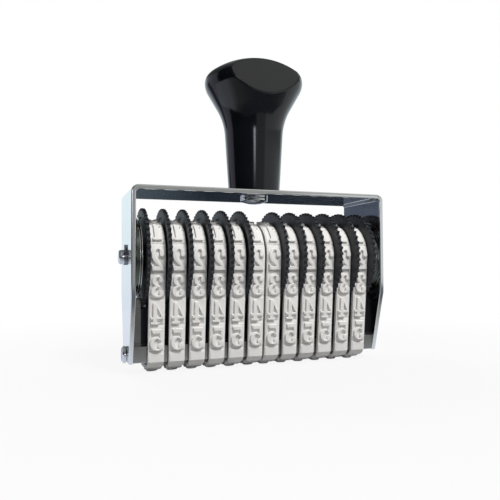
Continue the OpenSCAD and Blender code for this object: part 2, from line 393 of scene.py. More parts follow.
def finish_piece(
    bm: BMesh,
    name: str,
    node: str,
    material: Material,
    body: str = ROOT_BODY,
    smooth: float = 40.0,
    marks: Callable[[Vector], float] | None = None,
) -> None:
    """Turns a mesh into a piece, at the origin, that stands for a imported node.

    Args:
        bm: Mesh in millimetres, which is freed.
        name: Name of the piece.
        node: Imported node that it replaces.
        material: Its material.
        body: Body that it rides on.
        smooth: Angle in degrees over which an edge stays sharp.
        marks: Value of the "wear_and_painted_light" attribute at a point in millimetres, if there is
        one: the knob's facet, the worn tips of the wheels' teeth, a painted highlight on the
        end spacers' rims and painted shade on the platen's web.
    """
    mesh = bpy.data.meshes.new(name)
    bm.to_mesh(mesh)
    bm.free()
    if marks:
        wear_and_painted_light = mesh.attributes.new("wear_and_painted_light", "FLOAT", "POINT")
        wear_and_painted_light.data.foreach_set("value", [marks(v.co) for v in mesh.vertices])
    mesh.transform(Matrix.Scale(MM, 4))
    mesh.shade_smooth()
    mesh.set_sharp_from_angle(angle=math.radians(smooth))
    mesh.materials.append(material)
    piece = bpy.data.objects.new(name, mesh)
    bpy.context.scene.collection.objects.link(piece)
    weighted = piece.modifiers.new("weighted_normals", "WEIGHTED_NORMAL")
    weighted.keep_sharp = True
    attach(piece, body)
    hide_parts(node)
    LOG.info("%s rides on %s, %d faces", name, body, len(mesh.polygons))


# ---------------------------------------------------------------- finishes


class Graph:
    """Adds nodes to a node tree."""

    def __init__(self, tree: NodeTree) -> None:
        """Takes a material's, group's or world's tree to add to."""
        self.tree = tree

    def node(self, kind: str, inputs: dict | None = None, **settings: object) -> Node:
        """Adds a node.

        Args:
            kind: The node's type, without "ShaderNode" in front.
            inputs: Value or socket for each named or numbered input.
            **settings: Properties of the node.

        Returns:
            The node.
        """
        made = self.tree.nodes.new("ShaderNode" + kind)
        for key, value in settings.items():
            setattr(made, key, value)
        for key, value in (inputs or {}).items():
            if isinstance(value, NodeSocket):
                self.tree.links.new(value, made.inputs[key])
            else:
                made.inputs[key].default_value = value
        return made

    def group(self, tree: NodeTree, inputs: dict) -> NodeSocket:
        """Adds a node group and gives its output."""
        return self.node("Group", inputs, node_tree=tree).outputs[0]

    def noise(self, vector: NodeSocket, scale: object, detail: float, rough: float = 0.5) -> NodeSocket:
        """Adds a noise texture and gives its value."""
        inputs = {"Vector": vector, "Scale": scale, "Detail": detail, "Roughness": rough}
        return self.node("TexNoise", inputs).outputs["Fac"]

    def math(self, operation: str, first: object, second: object = 0.0, clamp: bool = False) -> NodeSocket:
        """Adds a math node on values or sockets and gives its result."""
        return self.node("Math", {0: first, 1: second}, operation=operation, use_clamp=clamp).outputs[0]

    def ramp(self, value: NodeSocket, start: float, end: float) -> NodeSocket:
        """Makes a soft step in a value.

        Args:
            value: Value to read.
            start: Where the result is still 0.
            end: Where the result is 1, above or below the start.

        Returns:
            The result, from 0 to 1.
        """
        low, high, ends = (start, end, (0.0, 1.0)) if start < end else (end, start, (1.0, 0.0))
        inputs = {"Value": value, "From Min": low, "From Max": high, "To Min": ends[0], "To Max": ends[1]}
        return self.node("MapRange", inputs).outputs["Result"]

    def mix(self, factor: object, first: object, second: object) -> NodeSocket:
        """Mixes two colours or colour sockets; the factor is the share of the second one."""
        colours = [c if isinstance(c, NodeSocket) else (*c, 1.0) for c in (first, second)]
        return self.node("Mix", {0: factor, 6: colours[0], 7: colours[1]}, data_type="RGBA").outputs[2]

    def cover(
        self,
        axes: Sequence[NodeSocket],
        base: object,
        tone: object,
        x: Sequence[Point2] = (),
        y: Sequence[Point2] = (),
        z: Sequence[Point2] = (),
    ) -> NodeSocket:
        """Lays a tone over a colour, inside soft bounds along the axes.

        Args:
            axes: The three parts of a direction or place.
            base: Colour or socket outside the bounds.
            tone: Colour or socket inside them.
            x: Start and end of each ramp along the first axis.
            y: The same for the second axis.
            z: The same for the third axis.

        Returns:
            The mixed colour.
        """
        share: object = 1.0
        for part, ramps in zip(axes, (x, y, z)):
            for start, end in ramps:
                share = self.math("MULTIPLY", share, self.ramp(part, start, end))
        return self.mix(share, base, tone)


def new_group(name: str, inputs: dict[str, float], output: str) -> tuple[Graph, dict, NodeSocket]:
    """Starts a shader node group that reads a vector and puts out a value.

    Args:
        name: Name of the group.
        inputs: Name and default of each number that it takes.
        output: Name of the value that it puts out.

    Returns:
        A graph on the group, its inputs by name and the socket that takes its result.
    """
    tree = bpy.data.node_groups.new(name, "ShaderNodeTree")
    tree.interface.new_socket("Vector", in_out="INPUT", socket_type="NodeSocketVector")
    for key, value in inputs.items():
        tree.interface.new_socket(key, in_out="INPUT", socket_type="NodeSocketFloat").default_value = value
    tree.interface.new_socket(output, in_out="OUTPUT", socket_type="NodeSocketFloat")
    entry = tree.nodes.new("NodeGroupInput")
    leave = tree.nodes.new("NodeGroupOutput")
    return Graph(tree), {s.name: s for s in entry.outputs if s.name}, leave.inputs[output]


class Effects:
    """Shader node groups that several finishes share."""

    def __init__(self) -> None:
        """Builds each group once."""
        self.mottle = self._mottle()
        self.grain = self._grain()
        self.scuffs = self._scuffs()
        self.rings = self._rings()

    @staticmethod
    def _mottle() -> NodeTree:
        """Builds a soft cloudy change of a value: Base plus or minus Amount.

        Returns:
            The group.
        """
        g, inp, out = new_group("soft_mottle", {"Scale": 300.0, "Base": 0.3, "Amount": 0.1}, "Value")
        signed = g.math("SUBTRACT", g.noise(inp["Vector"], inp["Scale"], 4.0, 0.55), 0.5)
        swing = g.math("MULTIPLY", g.math("MULTIPLY", signed, 2.4), inp["Amount"])
        g.tree.links.new(g.math("ADD", inp["Base"], swing, True), out)
        return g.tree

    @staticmethod
    def _grain() -> NodeTree:
        """Builds the fine relief of a moulded or plated skin.

        Returns:
            The group.
        """
        g, inp, out = new_group("moulded_grain", {"Scale": 3000.0, "Coarse": 0.4}, "Height")
        fine = g.noise(inp["Vector"], inp["Scale"], 3.0)
        wide = g.noise(inp["Vector"], g.math("MULTIPLY", inp["Scale"], 0.18), 2.0)
        both = g.math("ADD", g.math("MULTIPLY", wide, inp["Coarse"]), g.math("MULTIPLY", fine, 0.5))
        g.tree.links.new(both, out)
        return g.tree

    @staticmethod
    def _scuffs() -> NodeTree:
        """Builds thin handling scuffs: a mask of sparse, long, fine scratches.

        Returns:
            The group.
        """
        g, inp, out = new_group("handling_scuffs", {"Scale": 500.0, "Amount": 0.5}, "Mask")
        masks = []
        for turn, stretch in ((0.5, 14.0), (2.1, 18.0)):
            turned = (turn, turn * 0.7, turn * 1.3)
            laid = {"Vector": inp["Vector"], "Rotation": turned, "Scale": (1.0, stretch, 1.0)}
            streak = g.noise(g.node("Mapping", laid).outputs["Vector"], inp["Scale"], 2.0)
            masks.append(g.ramp(streak, 0.66, 0.72))
        patch = g.ramp(g.noise(inp["Vector"], g.math("MULTIPLY", inp["Scale"], 0.25), 2.0), 0.45, 0.6)
        mask = g.math("MULTIPLY", g.math("MAXIMUM", *masks), patch)
        g.tree.links.new(g.math("MULTIPLY", mask, inp["Amount"]), out)
        return g.tree

    @staticmethod
    def _rings() -> NodeTree:
        """Builds the fine rings that a lathe leaves round the axle's line.

        Returns:
            The group.
        """
        g, inp, out = new_group("lathe_rings", {"Scale": 9000.0, "Height above": 0.0296}, "Height")
        x, y, z = g.node("SeparateXYZ", {0: inp["Vector"]}).outputs
        up = g.math("SUBTRACT", z, inp["Height above"])
        radius = g.math("SQRT", g.math("ADD", g.math("MULTIPLY", y, y), g.math("MULTIPLY", up, up)))
        along = g.node("CombineXYZ", {0: g.math("ADD", x, radius)}).outputs[0]
        g.tree.links.new(g.noise(along, inp["Scale"], 3.0, 0.6), out)
        return g.tree


class Relief(Enum):
    """Which fine relief a finish has."""

    GRAIN = "grain"
    RINGS = "rings"


@dataclass(frozen=True)
class Finish:
    """One surface finish.

    The main colour changes softly to a second one, the roughness is mottled, and a fine relief
    of the given kind feeds the normal. Where the mesh is marked, a marked colour and roughness
    take over: a matte facet on the knob, wear on the wheels' teeth, a painted highlight on the
    end spacers' rims and painted shade on the platen's web.
    """

    name: str
    colour: Tone
    second: Tone
    metallic: float
    roughness: float
    roughness_swing: float
    mottle_scale: float
    relief_scale: float
    relief_strength: float
    relief_depth: float
    relief: Relief = Relief.GRAIN
    scuffs: float = 0.0
    scuff_colour: Tone = (0.3, 0.3, 0.3)
    wear_and_painted_light_colour: Tone | None = None
    marked_roughness: float = 0.5
    specular: float = 0.5

    def material(self, effects: Effects) -> Material:
        """Builds the finish as a material.

        Args:
            effects: The shared node groups.

        Returns:
            The material.
        """
        made = bpy.data.materials.new(self.name)
        made.use_nodes = True
        made.node_tree.nodes.clear()
        g = Graph(made.node_tree)
        place = g.node("TexCoord").outputs["Object"]
        clouds = {"Vector": place, "Scale": self.mottle_scale, "Base": 0.5, "Amount": 0.9}
        colour = g.mix(g.group(effects.mottle, clouds), self.colour, self.second)
        clouds = {
            "Vector": place,
            "Scale": self.mottle_scale * 2.3,
            "Base": self.roughness,
            "Amount": self.roughness_swing,
        }
        roughness = g.group(effects.mottle, clouds)
        # The marked colour is real wear on some finishes and painted highlight or painted shade on others.
        if self.wear_and_painted_light_colour:
            mark_share = g.node("Attribute", attribute_name="wear_and_painted_light").outputs["Fac"]
            colour = g.mix(mark_share, colour, self.wear_and_painted_light_colour)
            kept = g.math("MULTIPLY", roughness, g.math("SUBTRACT", 1.0, mark_share))
            roughness = g.math("ADD", kept, g.math("MULTIPLY", mark_share, self.marked_roughness))
        if self.scuffs:
            scuffed = g.group(effects.scuffs, {"Vector": place, "Amount": self.scuffs})
            colour = g.mix(scuffed, colour, self.scuff_colour)
            roughness = g.math("ADD", roughness, g.math("MULTIPLY", scuffed, 0.25), True)
        skin = effects.grain if self.relief is Relief.GRAIN else effects.rings
        height = g.group(skin, {"Vector": place, "Scale": self.relief_scale})
        relief = {"Strength": self.relief_strength, "Distance": self.relief_depth, "Height": height}
        bump = g.node("Bump", relief)
        shader = g.node(
            "BsdfPrincipled",
            {
                "Base Color": colour,
                "Metallic": self.metallic,
                "Roughness": roughness,
                "Specular IOR Level": self.specular,
                "Normal": bump.outputs["Normal"],
            },
        )
        g.node("OutputMaterial", {"Surface": shader.outputs["BSDF"]})
        return made


NICKEL_PLATE = Finish(
    "nickel_plate", (0.88, 0.88, 0.87), (0.84, 0.85, 0.84), 1.0, 0.09, 0.04,
    mottle_scale=60.0, relief_scale=700.0, relief_strength=0.06, relief_depth=0.00005,
    scuffs=0.10, scuff_colour=(0.66, 0.67, 0.69),
)
BLACK_MOULDING = Finish(
    "black_moulding", (0.0035, 0.004, 0.006), (0.006, 0.0065, 0.008), 0.0, 0.13, 0.05,
    mottle_scale=90.0, relief_scale=900.0, relief_strength=0.05, relief_depth=0.00006,
    scuffs=0.10, scuff_colour=(0.03, 0.03, 0.033), wear_and_painted_light_colour=(0.007, 0.0072, 0.008), marked_roughness=0.33,
)
WHEEL_MOULDING = Finish(
    "wheel_moulding", (0.022, 0.024, 0.029), (0.033, 0.035, 0.042), 0.0, 0.46, 0.10,
    mottle_scale=250.0, relief_scale=2400.0, relief_strength=0.12, relief_depth=0.00003,
    wear_and_painted_light_colour=(0.030, 0.032, 0.040), marked_roughness=0.5, specular=0.38,
)
BAND_RUBBER = Finish(
    "band_rubber", (0.80, 0.785, 0.755), (0.74, 0.725, 0.695), 0.0, 0.62, 0.10,
    mottle_scale=220.0, relief_scale=3600.0, relief_strength=0.22, relief_depth=0.00003,
    specular=0.35,
)
CUSHION_RUBBER = Finish(
    "cushion_rubber", (0.27, 0.255, 0.23), (0.22, 0.21, 0.19), 0.0, 0.75, 0.10,
    mottle_scale=300.0, relief_scale=3000.0, relief_strength=0.3, relief_depth=0.00004,
)
TURNED_STEEL = Finish(
    "turned_steel", (0.72, 0.73, 0.75), (0.60, 0.62, 0.65), 1.0, 0.20, 0.06,
    mottle_scale=400.0, relief=Relief.RINGS, relief_scale=9000.0, relief_strength=0.10, relief_depth=0.00001,
)
SPRING_STEEL = Finish(
    "spring_steel", (0.28, 0.29, 0.31), (0.20, 0.21, 0.24), 1.0, 0.30, 0.08,
    mottle_scale=500.0, relief_scale=4000.0, relief_strength=0.1, relief_depth=0.00001,
)
SCREW_PLATE = Finish(
    "screw_plate", (0.74, 0.75, 0.77), (0.62, 0.64, 0.67), 1.0, 0.16, 0.06,
    mottle_scale=500.0, relief_scale=2500.0, relief_strength=0.08, relief_depth=0.00002,
)
# The end spacers' marked colour is a painted highlight: a pale tone on the rims of their inner rings that
# stands in for light caught on those edges.
DISC_STEEL = Finish(
    "disc_steel", (0.17, 0.195, 0.18), (0.11, 0.125, 0.118), 1.0, 0.2, 0.06,
    mottle_scale=300.0, relief=Relief.RINGS, relief_scale=6000.0, relief_strength=0.12, relief_depth=0.00001,
    wear_and_painted_light_colour=(0.85, 0.85, 0.78), marked_roughness=0.25,
)
# The platen's marked colour is painted shade: a near-black tone on the web, its fingers and its right ear,
# where shade falls between the loops; only the left ear keeps the plated colour.
BAR_PLATE = Finish(
    "bar_plate", (0.42, 0.415, 0.39), (0.34, 0.34, 0.33), 1.0, 0.22, 0.06,
    mottle_scale=180.0, relief_scale=1800.0, relief_strength=0.14, relief_depth=0.00003,
    wear_and_painted_light_colour=(0.05, 0.053, 0.06), marked_roughness=0.35,
)


class Finishes:
    """All materials of the machine, built once."""

    def __init__(self) -> None:
        """Builds the shared groups and each material."""
        effects = Effects()
        self.plate = NICKEL_PLATE.material(effects)
        self.handle = BLACK_MOULDING.material(effects)
        self.wheel = WHEEL_MOULDING.material(effects)
        self.band = BAND_RUBBER.material(effects)
        self.cushion = CUSHION_RUBBER.material(effects)
        self.turned = TURNED_STEEL.material(effects)
        self.spring = SPRING_STEEL.material(effects)
        self.disc = DISC_STEEL.material(effects)
        self.screw = SCREW_PLATE.material(effects)
        self.bar = BAR_PLATE.material(effects)


# ---------------------------------------------------------------- frame


@dataclass
class SheetFrame:
    """The plated steel strip, bent to a U, that holds everything."""

    sheet: float = 1.2
    bend_r: float = 0.7
    kink_z: float = 19.6
    foot_half: float = 5.4
    edge: float = 0.3
    bend_steps: int = 8
    screw_hole_r: float = 1.15
    handle_hole_r: float = 2.05
    axle_room: float = 0.05

    def build(self) -> BMesh:
        """Draws the strip's outer face from cheek to cheek and thickens it.

        Returns:
            The frame's mesh.
        """
        low, high = node_box("frame")
        half_d = high.y
        outer_r = self.bend_r + self.sheet
        bm = bmesh.new()
        start_z = high.z - outer_r
        front = chain(bm, [(low.x, -self.foot_half, low.z), (low.x, self.foot_half, low.z)], False)
        front = self._grow(bm, front, [(low.x, -half_d, self.kink_z), (low.x, half_d, self.kink_z)])
        front = self._grow(bm, front, [(low.x, -half_d, start_z), (low.x, half_d, start_z)])
        front = self._bend(bm, front, (low.x + outer_r, 0.0, start_z))
        bend_x = high.x - outer_r
        front = self._grow(bm, front, [(bend_x, -half_d, high.z), (bend_x, half_d, high.z)])
        front = self._bend(bm, front, (high.x - outer_r, 0.0, start_z))
        front = self._grow(bm, front, [(high.x, -half_d, self.kink_z), (high.x, half_d, self.kink_z)])
        self._grow(bm, front, [(high.x, -self.foot_half, low.z), (high.x, self.foot_half, low.z)])
        bmesh.ops.recalc_face_normals(bm, faces=list(bm.faces))
        top = max(bm.faces, key=lambda f: f.calc_center_median().z)
        if top.normal.z < 0:
            bmesh.ops.reverse_faces(bm, faces=list(bm.faces))
        bmesh.ops.solidify(bm, geom=list(bm.faces), thickness=self.sheet)
        bmesh.ops.recalc_face_normals(bm, faces=list(bm.faces))
        return bm

    @staticmethod
    def _grow(bm: BMesh, edges: list, places: Sequence[Sequence[float]]) -> list:
        """Extrudes the strip's last edge to two new corners.

        Args:
            bm: Mesh to add to.
            edges: The last edge, in a list.
            places: New corners, front and back.

        Returns:
            The new last edge, in a list.
        """
        grown = bmesh.ops.extrude_edge_only(bm, edges=edges)["geom"]
        verts = sorted((g for g in grown if isinstance(g, BMVert)), key=lambda v: v.co.y)
        for vert, place in zip(verts, places):
            vert.co = Vector(place)
        return [g for g in grown if isinstance(g, BMEdge) and set(g.verts) == set(verts)]

    def _bend(self, bm: BMesh, edges: list, centre: Sequence[float]) -> list:
        """Bends the strip by a right angle.

        Args:
            bm: Mesh to add to.
            edges: The last edge, in a list.
            centre: Centre of the bend.

        Returns:
            The new last edge, in a list.
        """
        geom = list(edges[0].verts) + edges
        last = bmesh.ops.spin(
            bm, geom=geom, cent=centre, axis=(0.0, 1.0, 0.0), angle=math.pi / 2, steps=self.bend_steps
        )["geom_last"]
        return [g for g in last if isinstance(g, BMEdge)]

    def dress(self, finishes: Finishes) -> None:
        """Adds the frame to the scene.

        Args:
            finishes: The machine's materials.
        """
        high = node_box("frame")[1]
        axle_r = node_box("axle")[1].y + self.axle_room
        cutters = [
            rod((0.0, 0.0, middle_z("axle")), "X", axle_r, 3 * high.x, 64),
            rod((0.0, 0.0, middle_z("platen_screw_left")), "X", self.screw_hole_r, 3 * high.x),
            rod((0.0, 0.0, high.z), "Z", self.handle_hole_r, 4 * self.sheet),
        ]
        bm = carve(self.build(), cutters)
        flatten(bm)
        soften(bm, self.edge, 3)
        finish_piece(bm, "steel_frame", "frame", finishes.plate)


# ---------------------------------------------------------------- handle


@dataclass
class KnobHandle:
    """The moulded knob with its flat facet, and the screw that holds it."""

    base_r: float = 7.15
    taper: float = 3.5
    flare_r: float = 17.0
    flare_angle: float = 30.0
    under_r: float = 5.0
    shoulder_r: float = 2.6
    crown_h: float = 6.3
    facet_cut: float = 3.9
    facet_lean: float = 14.0
    rim_blend: float = 0.4
    foot_edge: float = 0.35
    sides: int = 160
    head_h: float = 1.6
    thread_r: float = 2.0
    slot_half: float = 0.5
    slot_l: float = 10.0
    screw_edge: float = 0.2

    def profile(self, knob_r: float, height: float) -> list[Point2]:
        """Draws the knob's outline from its foot to its top.

        Args:
            knob_r: Largest radius.
            height: Height of the knob.

        Returns:
            (radius, height) points.
        """
        knob_h = height - self.crown_h
        under_c = knob_r - self.under_r
        flare = math.radians(self.flare_angle)
        taper = math.radians(self.taper)
        flare_end = (under_c + self.under_r * math.cos(flare), knob_h - self.under_r * math.sin(flare))
        slope_gap = math.tan(taper) - math.tan(flare)
        bend_h = (flare_end[0] - flare_end[1] * math.tan(flare) - self.base_r) / slope_gap
        bend_l = self.flare_r * math.tan((flare - taper) / 2)
        neck_r = self.base_r + bend_h * math.tan(taper) - bend_l * math.sin(taper)
        neck_h = bend_h - bend_l * math.cos(taper)
        flare_c = (neck_r + self.flare_r * math.cos(taper), neck_h - self.flare_r * math.sin(taper))
        shoulder_c = knob_r - self.shoulder_r
        rise = self.crown_h - self.shoulder_r
        dome_r = (shoulder_c**2 + self.crown_h**2 - self.shoulder_r**2) / (2 * rise)
        dome_h = height - dome_r
        dome_a = math.degrees(math.atan2(knob_h - dome_h, shoulder_c))
        foot_r = self.base_r - self.foot_edge
        foot = [(foot_r, 0.0), *arc((foot_r, self.foot_edge), self.foot_edge, -60, 0, 3)]
        neck = [(self.base_r + math.tan(taper) * neck_h * t, neck_h * t) for t in (0.2, 0.4, 0.6, 0.8)]
        return [
            (0.0, 0.0),
            *foot,
            *neck,
            *arc(flare_c, self.flare_r, 180 - self.taper, 180 - self.flare_angle, 14),
            *arc((under_c, knob_h), self.under_r, -self.flare_angle, 0, 8),
            *arc((shoulder_c, knob_h), self.shoulder_r, 0, dome_a, 10)[1:],
            *arc((0.0, dome_h), dome_r, dome_a, 90, 16)[1:],
        ]

    def facet(self) -> tuple[Vector, Vector]:
        """Finds the plane of the facet.

        Returns:
            The facet's outward direction and a point on it.
        """
        high = node_box("handle")[1]
        lean = math.radians(self.facet_lean)
        normal = Vector((0.0, -math.cos(lean), math.sin(lean)))
        return normal, Vector((0.0, self.facet_cut - high.x, high.z - self.crown_h))

    def build(self) -> BMesh:
        """Turns the knob and presses its facet flat, with a softly rounded rim.

        Returns:
            The knob's mesh.
        """
        low, high = node_box("handle")
        height = high.z - low.z
        bm = post(self.profile(high.x, height), self.sides)
        normal, on_plane = self.facet()
        on_plane.z -= low.z
        for share in (-1.0, -0.6, -0.2, 0.2, 0.6, 1.0):
            slice_at(bm, on_plane + normal * share * self.rim_blend, normal)
        for vert in bm.verts:
            d = (vert.co - on_plane).dot(normal)
            if d > -self.rim_blend:
                pressed = -((self.rim_blend - d) ** 2) / (4 * self.rim_blend) if d < self.rim_blend else 0.0
                vert.co += normal * (pressed - d)
        move(bm, (0.0, 0.0, low.z))
        return bm

    def screw(self) -> BMesh:
        """Makes the domed, slotted screw under the top plate.

        Returns:
            The screw's mesh.
        """
        low, high = node_box("handle_screw")
        head_r, crown = high.x, self.head_h / 2
        plate_z = low.z + self.head_h
        ball_r = (head_r**2 + crown**2) / (2 * crown)
        edge = math.degrees(math.asin(head_r / ball_r))
        dome = arc((0.0, low.z + ball_r), ball_r, -90, -90 + edge, 8)
        outline = [*dome, (head_r, plate_z), (self.thread_r, plate_z), (self.thread_r, high.z), (0.0, high.z)]
        bm = post(rounded(outline, self.screw_edge, 3, False), 64)
        corner = Vector((self.slot_l / 2, self.slot_half, low.z + crown))
        return carve(bm, [block((-corner.x, -corner.y, low.z - crown), corner)])

    def dress(self, finishes: Finishes) -> None:
        """Adds the knob and its screw to the scene.

        Args:
            finishes: The machine's materials.
        """
        normal, on_plane = self.facet()
        finish_piece(
            self.build(),
            "knob",
            "handle",
            finishes.handle,
            smooth=50.0,
            marks=lambda co: 1.0 if (co - on_plane).dot(normal) > -0.02 else 0.0,
        )
        finish_piece(self.screw(), "knob_screw", "handle_screw", finishes.screw)


# ---------------------------------------------------------------- axle


@dataclass
class AxleSet:
    """The axle with its clips, spring washers and end spacers."""

    chamfer: float = 0.3
    groove: float = 0.4
    clip_t: float = 0.4
    clip_r: float = 2.4
    clip_edge: float = 0.07
    mouth_share: float = 0.8
    lug_half: float = 0.45
    seat: float = 0.05
    washer_t: float = 0.3
    disc_r: float = 10.1
    lip_r: float = 10.4
    seam_depth: float = 0.5
    seams: tuple[Point2, Point2] = ((0.85, 0.93), (1.08, 1.43))
    axle_edge: float = 0.06
    washer_edge: float = 0.05
    disc_edge: float = 0.04
    mark_depth: float = 0.1
    mark_room: float = 0.01

    def axle(self) -> BMesh:
        """Turns the axle, with a clip groove outside each cheek.

        Returns:
            The axle's mesh.
        """
        high = node_box("axle")[1]
        r, end = high.y, high.x
        near = node_box("frame")[1].x
        far = near + self.clip_t + 2 * self.seat
        half = [
            (r, 0.0), (r, near), (r - self.groove, near), (r - self.groove, far), (r, far),
            (r, end - self.chamfer), (r - self.chamfer, end), (0.0, end),
        ]
        profile = [(a, -x) for a, x in reversed(half)] + half[1:]
        return lathe(rounded(profile, self.axle_edge, 2, False), middle_z("axle"), 64, closed=False)

    def clip(self, side: Side) -> BMesh:
        """Stamps the open retaining clip outside a cheek.

        Args:
            side: The end that it is for.

        Returns:
            The clip's mesh.
        """
        low, high = node_box(f"retaining_clip_{side.value}")
        axis = (0.0, middle_z("axle"))
        inner = node_box("axle")[1].y - self.groove + self.seat
        mouth = self.mouth_share * inner
        lug = math.degrees(math.acos(self.lug_half / self.clip_r))
        end = -math.degrees(math.acos(mouth / self.clip_r))
        lip = -math.degrees(math.acos(mouth / inner))
        half = [*arc(axis, self.clip_r, end, lug, 14), (self.lug_half, high.z)]
        hole = arc(axis, inner, 180 - lip, lip, 24)
        bm = prism([*half, *((-y, z) for y, z in reversed(half)), *hole], low.x, high.x)
        flatten(bm)
        soften(bm, self.clip_edge, 2)
        return bm

    def washer(self, side: Side) -> BMesh:
        """Presses the dished washer between a spacer and the row of wheels.

        Args:
            side: The end that it is for.

        Returns:
            The washer's mesh.
        """
        low, high = node_box(f"spring_washer_{side.value}")
        start, away = (low.x, 1.0) if side is Side.LEFT else (high.x, -1.0)
        dish = start + away * (high.x - low.x - self.washer_t)
        sheet = away * self.washer_t
        ring = [(BORE_R, dish), (high.y, start), (high.y, start + sheet), (BORE_R, dish + sheet)]
        return lathe(rounded(ring, self.washer_edge, 2), middle_z("axle"), 64)

    def spacer(self, side: Side) -> BMesh:
        """Turns the end spacer, with seams round its rim as stacked discs have.

        Args:
            side: The end that it is for.

        Returns:
            The spacer's mesh.
        """
        low, high = node_box(f"end_spacer_{side.value}")
        start, end, away = (low.x, high.x, 1.0) if side is Side.LEFT else (high.x, low.x, -1.0)
        deep = self.disc_r - self.seam_depth
        ring = [(BORE_R, start), (self.disc_r, start)]
        for (near, far), top in zip(self.seams, (self.disc_r, self.lip_r)):
            seam = [(self.disc_r, near), (deep, near), (deep, far), (top, far)]
            ring += [(r, start + away * x) for r, x in seam]
        ring += [(self.lip_r, end), (BORE_R, end)]
        return lathe(rounded(ring, self.disc_edge, 2), middle_z("axle"), 128)

    def dress(self, finishes: Finishes) -> None:
        """Adds the axle and what sits on it to the scene.

        Args:
            finishes: The machine's materials.
        """
        axis_z = middle_z("axle")
        bright_r = self.disc_r - self.mark_depth
        bright_x = node_box("end_spacer_right")[1].x - self.seams[0][1] + self.mark_room

        # Painted highlight: the inner rings' rims take the pale marked colour in place of light on their
        # edges.
        def bright(co: Vector) -> float:
            """Marks the rims of the spacer's inner rings, which get a painted highlight."""
            return 1.0 if abs(co.x) < bright_x and math.hypot(co.y, co.z - axis_z) > bright_r else 0.0

        finish_piece(self.axle(), "axle_rod", "axle", finishes.turned)
        for side in Side:
            clip, washer, spacer = (f"{stem}_{side.value}" for stem in ("clip", "washer", "spacer"))
            finish_piece(self.clip(side), clip, f"retaining_{clip}", finishes.spring)
            finish_piece(self.washer(side), washer, f"spring_{washer}", finishes.spring)
            disc = self.spacer(side)
            finish_piece(disc, spacer, f"end_{spacer}", finishes.disc, marks=bright)


# ---------------------------------------------------------------- platen


@dataclass
class PlatenSet:
    """The bar under the wheels, its rubber cushion and its two screws."""

    foot_h: float = 4.15
    foot_chamfer: float = 0.2
    web_half: float = 2.1
    web_chamfer: float = 0.2
    bright_end: float = 2.3
    web_room: float = 0.25
    ear_rise: float = 2.1
    comb_rise: float = 3.8
    comb_room: float = 0.3
    step: float = 0.02
    edge: float = 0.12
    thread_r: float = 1.1
    head_h: float = 1.1
    crown_h: float = 0.42
    crown_share: float = 0.72
    slot_half: float = 0.35
    slot_reach: float = 3.0
    head_edge: float = 0.25
    profile_edge: float = 0.1
    mark_room: float = 0.05

    def fingers(self) -> list[Point2]:
        """Finds the free room between the flanges of neighbouring wheels.

        Returns:
            The least and the greatest X of each of the web's fingers.
        """
        flanges = []
        for number in range(1, ROW_COUNT + 1):
            low, high = node_box(f"band_wheel_{number:02d}")
            near = low.x if number <= ROW_COUNT // 2 else high.x - FLANGE_T
            flanges.append((near - self.comb_room, near + FLANGE_T + self.comb_room))
        return [(before[1], after[0]) for before, after in zip(flanges, flanges[1:])]

    def bar(self) -> BMesh:
        """Draws the foot and the web that stands on it, with fingers between the wheels.

        Returns:
            The bar's mesh.
        """
        low, high = node_box("platen_bar")
        half, top = high.y, low.z + self.foot_h
        c, w = self.foot_chamfer, self.web_half
        outline = [
            (-half, low.z + c), (c - half, low.z), (half - c, low.z), (half, low.z + c),
            (half, top), (w, top), (w, high.z - self.web_chamfer), (w - self.web_chamfer, high.z),
            (self.web_chamfer - w, high.z), (-w, high.z - self.web_chamfer), (-w, top), (-half, top),
        ]
        bm = prism(rounded(outline, self.profile_edge, 2), low.x, high.x)
        ear_in = high.x - self.bright_end
        fingers = self.fingers()
        for x in (-ear_in, ear_in, *(end for finger in fingers for end in finger)):
            for shift in (-self.step, self.step):
                slice_at(bm, (x + shift, 0.0, 0.0), (1.0, 0.0, 0.0))
        rise = node_box("band_wheel_01")[0].z - high.z
        for vert in bm.verts:
            if vert.co.z > top + self.edge:
                if abs(vert.co.x) > ear_in:
                    vert.co.z += rise + self.ear_rise
                elif any(start < vert.co.x < end for start, end in fingers):
                    vert.co.z += rise + self.comb_rise
                else:
                    vert.co.z += rise - self.web_room
        return bm

    def cushion(self) -> BMesh:
        """Makes the rubber strip under the foot.

        Returns:
            The strip's mesh.
        """
        low, high = node_box("platen_cushion")
        bm = block(low, high)
        soften(bm, self.edge, 2)
        return bm

    def screw(self, side: Side) -> BMesh:
        """Makes a cheese-head screw with a slot.

        Args:
            side: The end that it is for.

        Returns:
            The screw's mesh.
        """
        node = f"platen_screw_{side.value}"
        low, high = node_box(node)
        axis_z, head_r = middle_z(node), high.y
        out, tip, sign = (low.x, high.x, -1.0) if side is Side.LEFT else (high.x, low.x, 1.0)
        seat = out - sign * self.head_h
        outline = [
            (0.0, out), (head_r * self.crown_share, out), (head_r, out - sign * self.crown_h),
            (head_r, seat), (self.thread_r, seat), (self.thread_r, tip), (0.0, tip),
        ]
        bm = lathe(rounded(outline, self.head_edge, 4, False), axis_z, 64, closed=False)
        start, end = sorted((out + sign, out - sign * self.head_h / 2))
        low_z, high_z = axis_z - self.slot_reach, axis_z + self.slot_reach
        return carve(bm, [block((start, -self.slot_half, low_z), (end, self.slot_half, high_z))])

    def dress(self, finishes: Finishes) -> None:
        """Adds the platen's pieces to the scene.

        Args:
            finishes: The machine's materials.
        """
        low, high = node_box("platen_bar")
        top = low.z + self.foot_h + self.mark_room
        painted_shade_from = self.bright_end - high.x

        # Painted shade: the web between the loops and its right ear are darkened where shade falls, the lit
        # left end is not.
        def dark(co: Vector) -> float:
            """Marks the web, its fingers and its right ear for painted shade, all but the bright left end."""
            return 1.0 if co.z > top and co.x > painted_shade_from else 0.0

        finish_piece(self.bar(), "platen", "platen_bar", finishes.bar, marks=dark)
        finish_piece(self.cushion(), "cushion", "platen_cushion", finishes.cushion)
        for side in Side:
            name = f"screw_{side.value}"
            finish_piece(self.screw(side), f"side_{name}", f"platen_{name}", finishes.screw)


# ---------------------------------------------------------------- wheels


